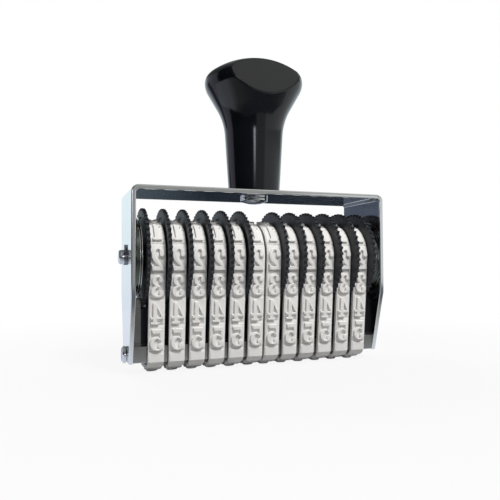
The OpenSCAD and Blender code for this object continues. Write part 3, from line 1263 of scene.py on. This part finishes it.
@dataclass
class WheelRow:
    """Twelve toothed wheels on one axle."""

    teeth: int = 48
    notch_depth: float = 0.7
    notch_r: float = 0.55
    dish: float = 0.35
    rim_w: float = 2.3
    drum_r: float = 8.0
    drum_wall: float = 1.2
    drum_l: float = 5.1
    hub_r: float = 3.6
    web_l: float = 2.27
    steps_per_tooth: int = 8
    edge: float = 0.16
    tip_share: float = 0.35
    tip_fade: float = 0.2
    rub_depth: float = 0.03
    rub: float = 0.8

    def half_section(self, wheel_r: float, length: float) -> list[Point2]:
        """Draws the wheel's half section, flange first.

        Args:
            wheel_r: Radius over the teeth.
            length: Length of the hub.

        Returns:
            (radius, X) points with softly rounded corners.
        """
        rim = wheel_r - self.rim_w
        wall = self.drum_r - self.drum_wall
        hub = [(BORE_R, 0.0), (self.hub_r, 0.0), (self.hub_r, self.dish), (rim, self.dish), (rim, 0.0)]
        flange = [(wheel_r, 0.0), (wheel_r, FLANGE_T), (self.drum_r, FLANGE_T)]
        drum = [(self.drum_r, self.drum_l), (wall, self.drum_l), (wall, self.web_l)]
        back = [(self.hub_r, self.web_l), (self.hub_r, length), (BORE_R, length)]
        return rounded(hub + flange + drum + back, self.edge, 3)

    def tooth_angles(self, wheel_r: float) -> list[float]:
        """Spaces the columns of one tooth so that they catch the notch's shape.

        Args:
            wheel_r: Radius over the teeth.

        Returns:
            Angles in radians from the middle of a notch, first the middle of the land before it.
        """
        centre = wheel_r - self.notch_depth + self.notch_r
        edge = math.acos((wheel_r**2 + centre**2 - self.notch_r**2) / (2 * wheel_r * centre))
        return [-math.pi / self.teeth] + [edge * t for t in (-1.0, -0.86, -0.5, 0.0, 0.5, 0.86, 1.0)]

    def build(self) -> BMesh:
        """Turns the wheel and presses the notches into its rim.

        Returns:
            The mesh of the left half's innermost wheel.
        """
        low, high = node_box("band_wheel_06")
        axis_z = (low.z + high.z) / 2
        wheel_r = (high.z - low.z) / 2
        section = [(r, low.x + x) for r, x in self.half_section(wheel_r, high.x - low.x)]
        columns = self.teeth * self.steps_per_tooth
        bm = lathe(section, axis_z, columns)
        angles = self.tooth_angles(wheel_r)
        centre = wheel_r - self.notch_depth + self.notch_r
        step = math.tau / columns
        for vert in bm.verts:
            y, z = vert.co.y, vert.co.z - axis_z
            radius = math.hypot(y, z)
            column = round(math.atan2(-y, z) / step) % columns
            tooth, place = divmod(column, self.steps_per_tooth)
            inner = angles[place]
            angle = tooth * math.tau / self.teeth + inner
            room = self.notch_r**2 - (centre * math.sin(inner)) ** 2
            bottom = centre * math.cos(inner) - math.sqrt(max(room, 0.0))
            if radius > bottom and place > 1:
                radius = bottom - self.tip_share * min(wheel_r - radius, self.tip_fade)
            vert.co.y, vert.co.z = -radius * math.sin(angle), axis_z + radius * math.cos(angle)
        return bm

    def dress(self, finishes: Finishes) -> None:
        """Adds the twelve wheels to the scene.

        Args:
            finishes: The machine's materials.
        """
        pattern = self.build()
        left_low = node_box("band_wheel_06")[0].x
        bright_r = node_box("band_wheel_06")[1].y - self.rub_depth
        axis_z = middle_z("axle")

        def rubbed(co: Vector) -> float:
            """Marks the tips of the teeth."""
            return self.rub if math.hypot(co.y, co.z - axis_z) > bright_r else 0.0

        for number in range(1, ROW_COUNT + 1):
            name, node = f"wheel_{number:02d}", f"band_wheel_{number:02d}"
            low, high = node_box(node)
            if number <= ROW_COUNT // 2:
                bm = pattern.copy()
                move(bm, (low.x - left_low, 0.0, 0.0))
            else:
                bm = mirrored(pattern)
                move(bm, (high.x + left_low, 0.0, 0.0))
            finish_piece(
                bm, name, node, finishes.wheel, body=name, smooth=32.0, marks=rubbed
            )
        pattern.free()


# ---------------------------------------------------------------- bands


@dataclass
class BandLoop:
    """Closed path of a band in the side view: over the drum and round the platen's edges.

    A place on it is a length from the middle of the printing face, positive towards the front,
    and a height over the loop's inner face.
    """

    axle_z: float
    drum_r: float
    turn_y: float
    turn_z: float
    turn_r: float
    neutral: float

    def __post_init__(self) -> None:
        """Works out the tangent run, its tilt and the lengths of the stretches."""
        drop = self.axle_z - self.turn_z
        span = math.hypot(self.turn_y, drop)
        gain = self.drum_r - self.turn_r
        self.run_l = math.sqrt(span**2 - gain**2)
        self.tilt = math.asin(gain / span) - math.atan2(self.turn_y, drop)
        self.turn_l = (math.pi / 2 - self.tilt) * (self.turn_r + self.neutral)
        self.half_l = self.turn_y + self.turn_l + self.run_l
        self.half_l += (math.pi / 2 + self.tilt) * (self.drum_r + self.neutral)

    def point(self, length: float, height: float) -> Point2:
        """Finds a place on the loop.

        Args:
            length: Length along the loop, positive towards the front.
            height: Height over the inner face.

        Returns:
            (Y, Z) of the place.
        """
        side = -1.0 if length >= 0 else 1.0
        rest = abs(length)
        if rest < self.turn_y:
            return side * rest, self.turn_z - self.turn_r - height
        rest -= self.turn_y
        if rest < self.turn_l:
            angle = rest / (self.turn_r + self.neutral)
            reach = self.turn_r + height
            return side * (self.turn_y + reach * math.sin(angle)), self.turn_z - reach * math.cos(angle)
        rest -= self.turn_l
        out = Vector((math.cos(self.tilt), -math.sin(self.tilt)))
        if rest < self.run_l:
            low = Vector((self.turn_y, self.turn_z)) + out * self.turn_r
            high = Vector((0.0, self.axle_z)) + out * self.drum_r
            at = low.lerp(high, rest / self.run_l) + out * height
            return side * at.x, at.y
        angle = (rest - self.run_l) / (self.drum_r + self.neutral) - self.tilt
        reach = self.drum_r + height
        return side * reach * math.cos(angle), self.axle_z + reach * math.sin(angle)

    def stations(self) -> list[float]:
        """Lists the lengths at which a band bends, finely enough to look round.

        Returns:
            Sorted lengths from one end of the loop to the other.
        """
        drum_start = self.turn_y + self.turn_l + self.run_l
        front = [0.0, self.turn_y]
        front += [self.turn_y + self.turn_l * i / 10 for i in range(1, 11)]
        front += [drum_start + (self.half_l - drum_start) * i / 26 for i in range(27)]
        return sorted({round(s, 6) for s in front} | {round(-s, 6) for s in front})


class Glyph(Enum):
    """Raised characters that a band carries."""

    BLANK = " "
    ZERO = "0"
    ONE = "1"
    TWO = "2"
    THREE = "3"
    FOUR = "4"
    FIVE = "5"
    SIX = "6"
    SEVEN = "7"
    EIGHT = "8"
    NINE = "9"
    DASH = "-"
    SLASH = "/"
    DOT = "."


TYPE_W = 31.0
TYPE_H = 50.0
Contour = list[tuple[float, float, bool]]


def oval(x: float, y: float, half_w: float, half_h: float) -> Contour:
    """Draws an oval as eight smooth points.

    Args:
        x: Middle across.
        y: Middle up.
        half_w: Half width.
        half_h: Half height.

    Returns:
        The contour.
    """
    turns = [math.tau * i / 8 for i in range(8)]
    return [(x + half_w * math.cos(t), y + half_h * math.sin(t), False) for t in turns]


def outline(corners: str) -> Contour:
    """Reads a contour from words such as "15,50 25,46.5 20.5,26.8!", where ! marks a corner.

    Args:
        corners: The points, parted by spaces.

    Returns:
        The contour.
    """
    result: Contour = []
    for word in corners.split():
        x, y = word.rstrip("!").split(",")
        result.append((float(x), float(y), word.endswith("!")))
    return result


# Outer contour and holes of each character, read the right way round, TYPE_W wide and TYPE_H high.
SHAPES: dict[Glyph, list[Contour]] = {
    Glyph.BLANK: [],
    Glyph.ZERO: [oval(15.5, 25, 15, 25), oval(15.5, 25, 6.2, 20.6)],
    Glyph.ONE: [
        outline(
            "6,4! 26,4! 26,8.4! 22.4,9.2 21.4,11! 21.4,50! 17,50! 12.6,46.6 6.4,44.8! 6.4,41!"
            " 9,40.6 10.4,38! 10.4,11! 9.4,9.2 6,8.4!"
        )
    ],
    Glyph.TWO: [
        outline(
            "1.2,0! 28.4,0! 30.4,13.5! 27.6,13.5! 26,9.8 22,8.8 11.5,8.8! 19.5,15.5 27.3,23.6"
            " 30.4,34.8 26.2,45.8 15.6,50 5.4,46.6 0.9,38 2.4,32.6 7,31 11.6,33.4 12,38.2"
            " 11.4,43.2 15.2,46.4 20,43.6 21.6,35 18.4,25.5 10,15.5 3.5,7.5"
        )
    ],
    Glyph.THREE: [
        outline(
            "15,50 25,46.6 28.2,38.4 26,31 20.5,26.8! 27.6,22.4 30.6,14 26,4 14.6,0 5,3 0.9,10"
            " 2.6,15.2 7,16.8 11.4,14.2 11.8,9.6 11,5.6 14.6,3.8 20,7 21.6,14 18.6,21.6 11,24.6!"
            " 11,27.4! 17.4,30.4 19.8,38.4 18.2,44.4 14.6,46.3 11.2,44.6 12.2,40.4 10.6,35.8"
            " 6.4,34.4 2.4,36.8 1.6,41.4 6,47.6"
        )
    ],
    Glyph.FOUR: [
        outline(
            "0.5,12! 0.5,15.6! 18.6,50! 25,50! 25,16.6! 30.6,16.6! 30.6,12! 25,12! 25,4.6! 29.6,3.8!"
            " 29.6,0! 11.6,0! 11.6,3.8! 16,4.6! 16,12!"
        ),
        outline("5,16.6! 16,16.6! 16,38.5!"),
    ],
    Glyph.FIVE: [
        outline(
            "4.4,50! 27.4,50! 25.4,41.4! 8.4,41.4! 8.4,29! 16,32.6 26.6,28.4 30.6,17 26,5 14.6,0 5,3"
            " 0.9,10.4 3,15 7,16.4 11.4,13.6 11.8,9 11,5.4 14.6,3.8 19.6,7.4 21.6,17 19.6,25.6"
            " 15,28.8 8.4,24.4! 4.4,24.4!"
        )
    ],
    Glyph.SIX: [
        outline(
            "18,50 26.5,47.2 29.8,40.5 27.8,36 23.8,34.6 19.6,37 18.8,41.5 19.4,45 16.6,46.4"
            " 12,42 10,30 10.2,27! 17.8,31 27,27 30.7,15.5 26.5,4 15.8,0 4.2,6 0.5,23.5 4.4,40.5"
        ),
        oval(15.8, 15.2, 5.6, 11.6),
    ],
    Glyph.SEVEN: [
        outline(
            "1.4,50! 0.6,36! 3.4,36! 5.4,40.4 10,41.4 23.4,41.4! 13.4,22 9.6,8 9.4,0! 19.4,0!"
            " 19.8,12 23.8,27 30.4,43.5! 30.4,50!"
        )
    ],
    Glyph.EIGHT: [
        outline(
            "15.5,50 25,47 28.4,38.6 25.6,30 22,26.8 28.4,21.6 30.6,13.4 26,3.6 15.5,0 5,3.6"
            " 0.4,13.4 2.6,21.6 9,26.8 5.4,30 2.6,38.6 6,47"
        ),
        oval(15.5, 38.3, 5.6, 8.2),
        oval(15.5, 13.4, 6.4, 9.6),
    ],
    Glyph.DASH: [outline("4,21! 27,21! 27,29! 4,29!")],
    Glyph.SLASH: [outline("3,0! 10.5,0! 28,50! 20.5,50!")],
    Glyph.DOT: [oval(15.5, 6.5, 6.2, 6.2)],
}
SHAPES[Glyph.NINE] = [[(TYPE_W - x, TYPE_H - y, sharp) for x, y, sharp in part] for part in SHAPES[Glyph.SIX]]


@dataclass
class TypeFace:
    """The raised characters and the low pads that they stand on."""

    unit: float = 0.107
    draft: float = 0.14
    shrink: float = 0.09
    relief: float = 0.75
    root: float = 0.1
    bend_step: float = 0.9
    pad_w: float = 3.6
    pad_gap: float = 0.8
    pad_h: float = 0.16
    pad_edge: float = 0.1

    def pad(self, pitch: float, backing: float) -> BMesh:
        """Makes the low pad that a character stands on.

        Args:
            pitch: Length of a segment of the band.
            backing: Height of the backing's face.

        Returns:
            The pad's mesh.
        """
        half_w, half_l = self.pad_w / 2, (pitch - self.pad_gap) / 2
        bm = block((-half_w, -half_l, backing - self.root), (half_w, half_l, backing + self.pad_h))
        soften(bm, self.pad_edge, 2)
        count = math.ceil(half_l / self.bend_step)
        for i in range(1 - count, count):
            slice_at(bm, (0.0, i * self.bend_step, 0.0), (0.0, 1.0, 0.0))
        return bm

    def build(self, glyph: Glyph, backing: float) -> BMesh:
        """Raises a character, mirrored as type is, on a flat backing.

        Args:
            glyph: The character.
            backing: Height of the backing's face.

        Returns:
            The character's mesh, with X across, Y along the band and Z out of it.
        """
        curve = bpy.data.curves.new("type", "CURVE")
        curve.dimensions = "2D"
        curve.fill_mode = "BOTH"
        curve.resolution_u = 4
        curve.bevel_resolution = 2
        curve.bevel_depth = self.draft
        curve.extrude = self.relief + self.root - self.draft
        curve.offset = -self.shrink
        for part in SHAPES[glyph]:
            spline = curve.splines.new("BEZIER")
            spline.bezier_points.add(len(part) - 1)
            spline.use_cyclic_u = True
            for knot, (x, y, sharp) in zip(spline.bezier_points, part):
                knot.co = ((TYPE_W / 2 - x) * self.unit, (y - TYPE_H / 2) * self.unit, 0.0)
                knot.handle_left_type = knot.handle_right_type = "VECTOR" if sharp else "AUTO"
        holder = bpy.data.objects.new("type", curve)
        bpy.context.scene.collection.objects.link(holder)
        depsgraph = bpy.context.evaluated_depsgraph_get()
        mesh = bpy.data.meshes.new_from_object(holder.evaluated_get(depsgraph))
        bm = bmesh.new()
        bm.from_mesh(mesh)
        bpy.data.meshes.remove(mesh)
        bpy.data.objects.remove(holder)
        bpy.data.curves.remove(curve)
        bmesh.ops.remove_doubles(bm, verts=list(bm.verts), dist=1e-3)
        slice_at(bm, (0.0, 0.0, 0.0), (0.0, 0.0, 1.0), drop_inner=True)
        rim = [e for e in bm.edges if e.is_boundary]
        bmesh.ops.triangle_fill(bm, use_beauty=True, edges=rim)
        count = math.ceil(TYPE_H * self.unit / self.bend_step)
        for i in range(count + 1):
            slice_at(bm, (0.0, (i - count / 2) * self.bend_step, 0.0), (0.0, 1.0, 0.0))
        bmesh.ops.recalc_face_normals(bm, faces=list(bm.faces))
        move(bm, (0.0, 0.0, backing - self.root))
        return bm


@dataclass
class BandRow:
    """Twelve rubber bands, each a flat strip of type that is wrapped round its loop."""

    face: TypeFace = field(default_factory=TypeFace)
    thickness: float = 1.1
    turn_r: float = 1.5
    foot_room: float = 0.1
    edge: float = 0.14
    groove_half: float = 0.09
    groove_depth: float = 0.14
    slip: float = 0.4
    sit: float = 0.4
    bare: tuple[Point2, ...] = ((2.9, 0.0), (3.05, 0.7), (5.0, 0.7), (6.9, 0.18), (7.0, 0.0))
    order: tuple[Glyph, ...] = (
        Glyph.SIX, Glyph.BLANK, Glyph.FIVE, Glyph.FOUR, Glyph.THREE, Glyph.TWO, Glyph.ONE,
        Glyph.ZERO, Glyph.DOT, Glyph.SLASH, Glyph.DASH, Glyph.NINE, Glyph.EIGHT, Glyph.SEVEN,
    )

    def loop(self) -> BandLoop:
        """Takes the band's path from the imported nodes.

        Returns:
            The path.
        """
        band_low, band_high = node_box("number_band_01")
        axle_z = middle_z("axle")
        outside = self.thickness + self.face.relief
        return BandLoop(
            axle_z=axle_z,
            drum_r=band_high.z - axle_z - outside,
            turn_y=node_box("platen_bar")[1].y + self.foot_room - self.turn_r,
            turn_z=band_low.z + outside + self.turn_r,
            turn_r=self.turn_r,
            neutral=self.thickness / 2,
        )

    def strip(self, loop: BandLoop, width: float) -> BMesh:
        """Lays the band's backing out flat, with a fine groove between the segments.

        Args:
            loop: The path that it will be wrapped round.
            width: Width of the band.

        Returns:
            The flat backing, X across, Y along, Z out.
        """
        half, count = width / 2, len(self.order)
        pitch = 2 * loop.half_l / count
        joints = [(i + 0.5) * pitch - self.slip for i in range(-count // 2, count // 2)]
        grooves = {round(j + way * self.groove_half, 6): 0.0 for j in joints for way in (-1, 1)}
        grooves.update({round(j, 6): self.groove_depth for j in joints})
        places = sorted(set(loop.stations()) | set(grooves))
        places = [p for p in places if abs(p) < loop.half_l - MERGE]
        places = [-loop.half_l, *places, loop.half_l]
        corners = [(-half, 0.0), (half, 0.0), (half, self.thickness), (-half, self.thickness)]
        ring = rounded(corners, self.edge, 2)
        bm = bmesh.new()
        edges = chain(bm, [(x, places[0], z) for x, z in ring], True)
        order = {v: i for i, v in enumerate(bm.verts)}
        for place in places[1:]:
            sunk = grooves.get(place, 0.0)
            grown = bmesh.ops.extrude_edge_only(bm, edges=edges)["geom"]
            following: dict[BMVert, int] = {}
            for vert in (g for g in grown if isinstance(g, BMVert)):
                neighbours = [e.other_vert(vert) for e in vert.link_edges]
                i = next(order[v] for v in neighbours if v in order)
                x, z = ring[i]
                vert.co = Vector((x, place, z - sunk if z > self.thickness - self.edge else z))
                following[vert] = i
            order = following
            edges = [g for g in grown if isinstance(g, BMEdge) and all(v in order for v in g.verts)]
        bmesh.ops.recalc_face_normals(bm, faces=list(bm.faces))
        return bm

    def thin(self, bm: BMesh) -> None:
        """Lowers the bare stretch of the band that bends round the platen's front edge.

        Args:
            bm: The flat band.
        """
        for place, _ in self.bare:
            slice_at(bm, (0.0, place, 0.0), (0.0, 1.0, 0.0))
        for vert in bm.verts:
            if vert.co.z > self.thickness / 2:
                for (start, high), (end, low) in zip(self.bare, self.bare[1:]):
                    if start <= vert.co.y < end:
                        vert.co.z -= high + (low - high) * (vert.co.y - start) / (end - start)
                        break

    def build(self) -> BMesh:
        """Joins the strip and its type and wraps them round the loop.

        Returns:
            The mesh of a band whose middle is at X = 0.
        """
        low, high = node_box("number_band_01")
        loop = self.loop()
        pitch = 2 * loop.half_l / len(self.order)
        parts = [self.strip(loop, high.x - low.x)]
        for i, glyph in enumerate(self.order):
            raised = [self.face.pad(pitch, self.thickness)]
            if glyph is not Glyph.BLANK:
                figure = self.face.build(glyph, self.thickness)
                move(figure, (0.0, -self.sit, 0.0))
                raised.append(figure)
            turns = i if i <= len(self.order) // 2 else i - len(self.order)
            for bm in raised:
                move(bm, (0.0, turns * pitch - self.slip, 0.0))
            parts += raised
        bm = join(parts)
        self.thin(bm)
        for vert in bm.verts:
            length = vert.co.y
            if abs(length) > loop.half_l:
                length -= math.copysign(2 * loop.half_l, length)
            vert.co.y, vert.co.z = loop.point(length, vert.co.z)
        bmesh.ops.remove_doubles(bm, verts=list(bm.verts), dist=2e-3)
        return bm

    def dress(self, finishes: Finishes) -> None:
        """Adds the twelve bands to the scene.

        Args:
            finishes: The machine's materials.
        """
        pattern = self.build()
        for number in range(1, ROW_COUNT + 1):
            node = f"number_band_{number:02d}"
            low, high = node_box(node)
            bm = pattern.copy()
            move(bm, ((low.x + high.x) / 2, 0.0, 0.0))
            finish_piece(bm, f"band_{number:02d}", node, finishes.band, smooth=38.0)
        pattern.free()


# ---------------------------------------------------------------- studio


@dataclass
class Studio:
    """Camera, lamps, world and floor."""

    camera_at: tuple[float, float, float] = (-52.886, -144.847, 26.983)
    yaw: float = 19.603
    pitch: float = 1.722
    roll: float = -0.299
    lens: float = 39.447
    aim_z: float = 0.035
    white: Tone = (1.0, 1.0, 1.0)
    grey_side: Tone = (0.30, 0.305, 0.30)
    open_side: Tone = (0.62, 0.65, 0.66)
    dark_side: Tone = (0.012, 0.014, 0.018)
    soft_box: Tone = (0.9, 0.9, 0.9)
    ceiling: Tone = (0.33, 0.34, 0.34)
    wall_low: Tone = (0.73, 0.79, 0.90)
    wall_high: Tone = (0.80, 0.93, 0.97)
    wall_left: Tone = (0.46, 0.46, 0.56)
    wall_card: Tone = (0.065, 0.08, 0.115)
    wall_top: Tone = (0.17, 0.19, 0.18)
    deep_left: Tone = (0.075, 0.10, 0.12)
    deep_right: Tone = (0.014, 0.019, 0.028)
    strip_light: Tone = (14.0, 14.0, 16.0)
    strip_x: float = -0.28
    strip_half: float = 0.09
    fill_front: Tone = (0.19, 0.193, 0.20)
    fill_back: Tone = (0.62, 0.62, 0.63)
    floor_half: float = 0.2
    floor_paint: Tone = (0.37, 0.37, 0.37)
    floor_white: float = 0.9
    floor_back: Tone = (0.76, 0.82, 0.92)
    floor_far: Tone = (0.10, 0.11, 0.13)
    floor_card: Tone = (0.10, 0.12, 0.16)

    def camera(self) -> None:
        """Places the camera."""
        yaw, pitch, roll = (math.radians(a) for a in (self.yaw, self.pitch, self.roll))
        ahead = Vector((math.sin(yaw) * math.cos(pitch), math.cos(yaw) * math.cos(pitch), math.sin(pitch)))
        right = Vector((math.cos(yaw), -math.sin(yaw), 0.0))
        up = right.cross(ahead)
        across = right * math.cos(roll) + up * math.sin(roll)
        upward = up * math.cos(roll) - right * math.sin(roll)
        data = bpy.data.cameras.new("camera")
        data.lens = self.lens
        data.sensor_width = 36.0
        data.clip_start = 0.005
        data.clip_end = 50.0
        camera = bpy.data.objects.new("camera", data)
        axes = Matrix((across, upward, -ahead)).transposed().to_4x4()
        camera.matrix_world = Matrix.Translation(Vector(self.camera_at) * MM) @ axes
        bpy.context.scene.collection.objects.link(camera)
        bpy.context.scene.camera = camera

    def lamp(self, name: str, at: Sequence[float], size: float, power: float) -> None:
        """Adds a square soft lamp that looks at the machine.

        Args:
            name: Name of the lamp.
            at: Its place in metres.
            size: Side of its face in metres.
            power: Its power in watts.
        """
        data = bpy.data.lights.new(name, "AREA")
        data.shape = "SQUARE"
        data.size = size
        data.energy = power
        lamp = bpy.data.objects.new(name, data)
        lamp.visible_glossy = False
        aim = Vector((0.0, 0.0, self.aim_z)) - Vector(at)
        lamp.matrix_world = Matrix.Translation(at) @ aim.to_track_quat("-Z", "Y").to_matrix().to_4x4()
        bpy.context.scene.collection.objects.link(lamp)

    def world(self) -> None:
        """Makes the room that the metal and the gloss show.

        In front it is dark on the left and grey on the right, with a bright open side, a soft box
        high up and a narrow strip light beside the camera. The back wall is pale, with a darker
        left end, a dark card and a grey top, and the floor past the machine's back is deep.
        Diffuse rays see an even fill instead, and the camera sees white.
        """
        world = bpy.data.worlds.new("studio")
        world.use_nodes = True
        world.node_tree.nodes.clear()
        g = Graph(world.node_tree)
        rays = g.node("LightPath").outputs
        axes = g.node("SeparateXYZ", {0: g.node("TexCoord").outputs["Generated"]}).outputs
        x, y = axes[0], axes[1]
        front = g.cover(axes, self.grey_side, self.open_side, x=[(0.38, 0.46)], z=[(0.16, 0.125)])
        room = g.cover(axes, self.dark_side, front, x=[(-0.20, -0.12)])
        room = g.cover(axes, room, self.soft_box, x=[(-0.1, 0.1)], z=[(0.50, 0.60)])
        room = g.cover(axes, room, self.ceiling, z=[(0.78, 0.88)])
        wall = g.cover(axes, self.wall_low, self.wall_high, z=[(-0.12, 0.12)])
        wall = g.cover(axes, wall, self.wall_left, x=[(-0.25, -0.45)])
        wall = g.cover(axes, wall, self.wall_card, x=[(-0.42, -0.46), (-0.64, -0.60)], z=[(0.14, 0.115)])
        wall = g.cover(axes, wall, self.wall_top, z=[(0.33, 0.43)])
        bound = g.math("MAXIMUM", g.math("MULTIPLY", x, 0.5), g.math("MULTIPLY", x, -0.357))
        room = g.mix(g.ramp(g.math("SUBTRACT", y, bound), -0.04, 0.04), room, wall)
        deep = g.cover(axes, self.deep_left, self.deep_right, x=[(0.1, 0.26)])
        past = {"x": [(-0.09, -0.05), (0.82, 0.72)], "y": [(-0.1, 0.1)], "z": [(-0.02, -0.06)]}
        room = g.cover(axes, room, deep, **past)
        off_strip = g.math("ABSOLUTE", g.math("SUBTRACT", x, self.strip_x))
        strip = g.math("SUBTRACT", 1.0, g.math("DIVIDE", off_strip, self.strip_half), True)
        lit = g.cover(axes, room, self.strip_light, y=[(-0.6, -0.8)], z=[(0.02, 0.2), (0.32, 0.2)])
        room = g.mix(strip, room, lit)
        fill = g.cover(axes, self.fill_front, self.fill_back, y=[(0.05, 0.4)])
        soft = g.mix(rays["Is Diffuse Ray"], room, fill)
        seen = g.mix(rays["Is Camera Ray"], soft, self.white)
        background = g.node("Background", {"Color": seen, "Strength": 1.0})
        g.node("OutputWorld", {"Surface": background.outputs[0]})
        bpy.context.scene.world = world

    def floor(self) -> None:
        """Lays a pale plain floor, which shows softer tones to gloss and metal.

        The camera sees it white but for a share of paint near the machine, which keeps the
        machine's shadow.
        """
        mesh = bpy.data.meshes.new("floor")
        bm = bmesh.new()
        bmesh.ops.create_grid(bm, x_segments=1, y_segments=1, size=self.floor_half)
        bm.to_mesh(mesh)
        bm.free()
        floor = bpy.data.objects.new("floor", mesh)
        bpy.context.scene.collection.objects.link(floor)
        material = bpy.data.materials.new("pale_floor")
        material.use_nodes = True
        material.node_tree.nodes.clear()
        g = Graph(material.node_tree)
        rays = g.node("LightPath").outputs
        place = g.node("TexCoord").outputs["Object"]
        axes = g.node("SeparateXYZ", {0: place}).outputs
        mirrored_tone = g.cover(axes, self.floor_back, self.grey_side, y=[(0.0, -0.04)])
        mirrored_tone = g.cover(axes, mirrored_tone, self.floor_far, y=[(-0.05, -0.09)])
        card = {"x": [(-0.036, -0.03), (0.09, 0.07)], "y": [(0.01, 0.03)]}
        mirrored_tone = g.cover(axes, mirrored_tone, self.floor_card, **card)
        tone = g.mix(rays["Is Glossy Ray"], self.white, mirrored_tone)
        seen = g.math("MAXIMUM", rays["Is Camera Ray"], rays["Is Glossy Ray"])
        seen = g.math("MAXIMUM", seen, rays["Is Transmission Ray"])
        away = g.node("VectorMath", {0: place}, operation="LENGTH").outputs["Value"]
        gone = g.math("MULTIPLY", g.ramp(away, 0.16, 0.05), 1.0 - self.floor_white)
        share = g.math("MULTIPLY", seen, g.math("SUBTRACT", 1.0, gone))
        paint = g.node("BsdfDiffuse", {"Color": (*self.floor_paint, 1.0)})
        glow = g.node("Emission", {"Color": tone, "Strength": 1.0})
        mixed = g.node("MixShader", {0: share, 1: paint.outputs[0], 2: glow.outputs[0]})
        g.node("OutputMaterial", {"Surface": mixed.outputs[0]})
        mesh.materials.append(material)

    def build(self) -> None:
        """Sets up the whole studio."""
        self.camera()
        self.lamp("key", (0.11, -0.37, 0.51), 0.14, 3.85)
        self.lamp("rear", (-0.15, 0.42, 0.45), 0.3, 2.4)
        self.world()
        self.floor()
        bpy.context.scene.view_settings.view_transform = "Standard"


def main() -> None:
    """Builds the studio and every sub-assembly in order."""
    logging.basicConfig(level=logging.INFO, format="%(message)s")
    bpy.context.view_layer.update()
    Studio().build()
    finishes = Finishes()
    for assembly in (SheetFrame(), KnobHandle(), AxleSet(), PlatenSet(), WheelRow(), BandRow()):
        assembly.dress(finishes)
        LOG.info("%s is done", type(assembly).__name__)


if __name__ == "__main__":
    main()
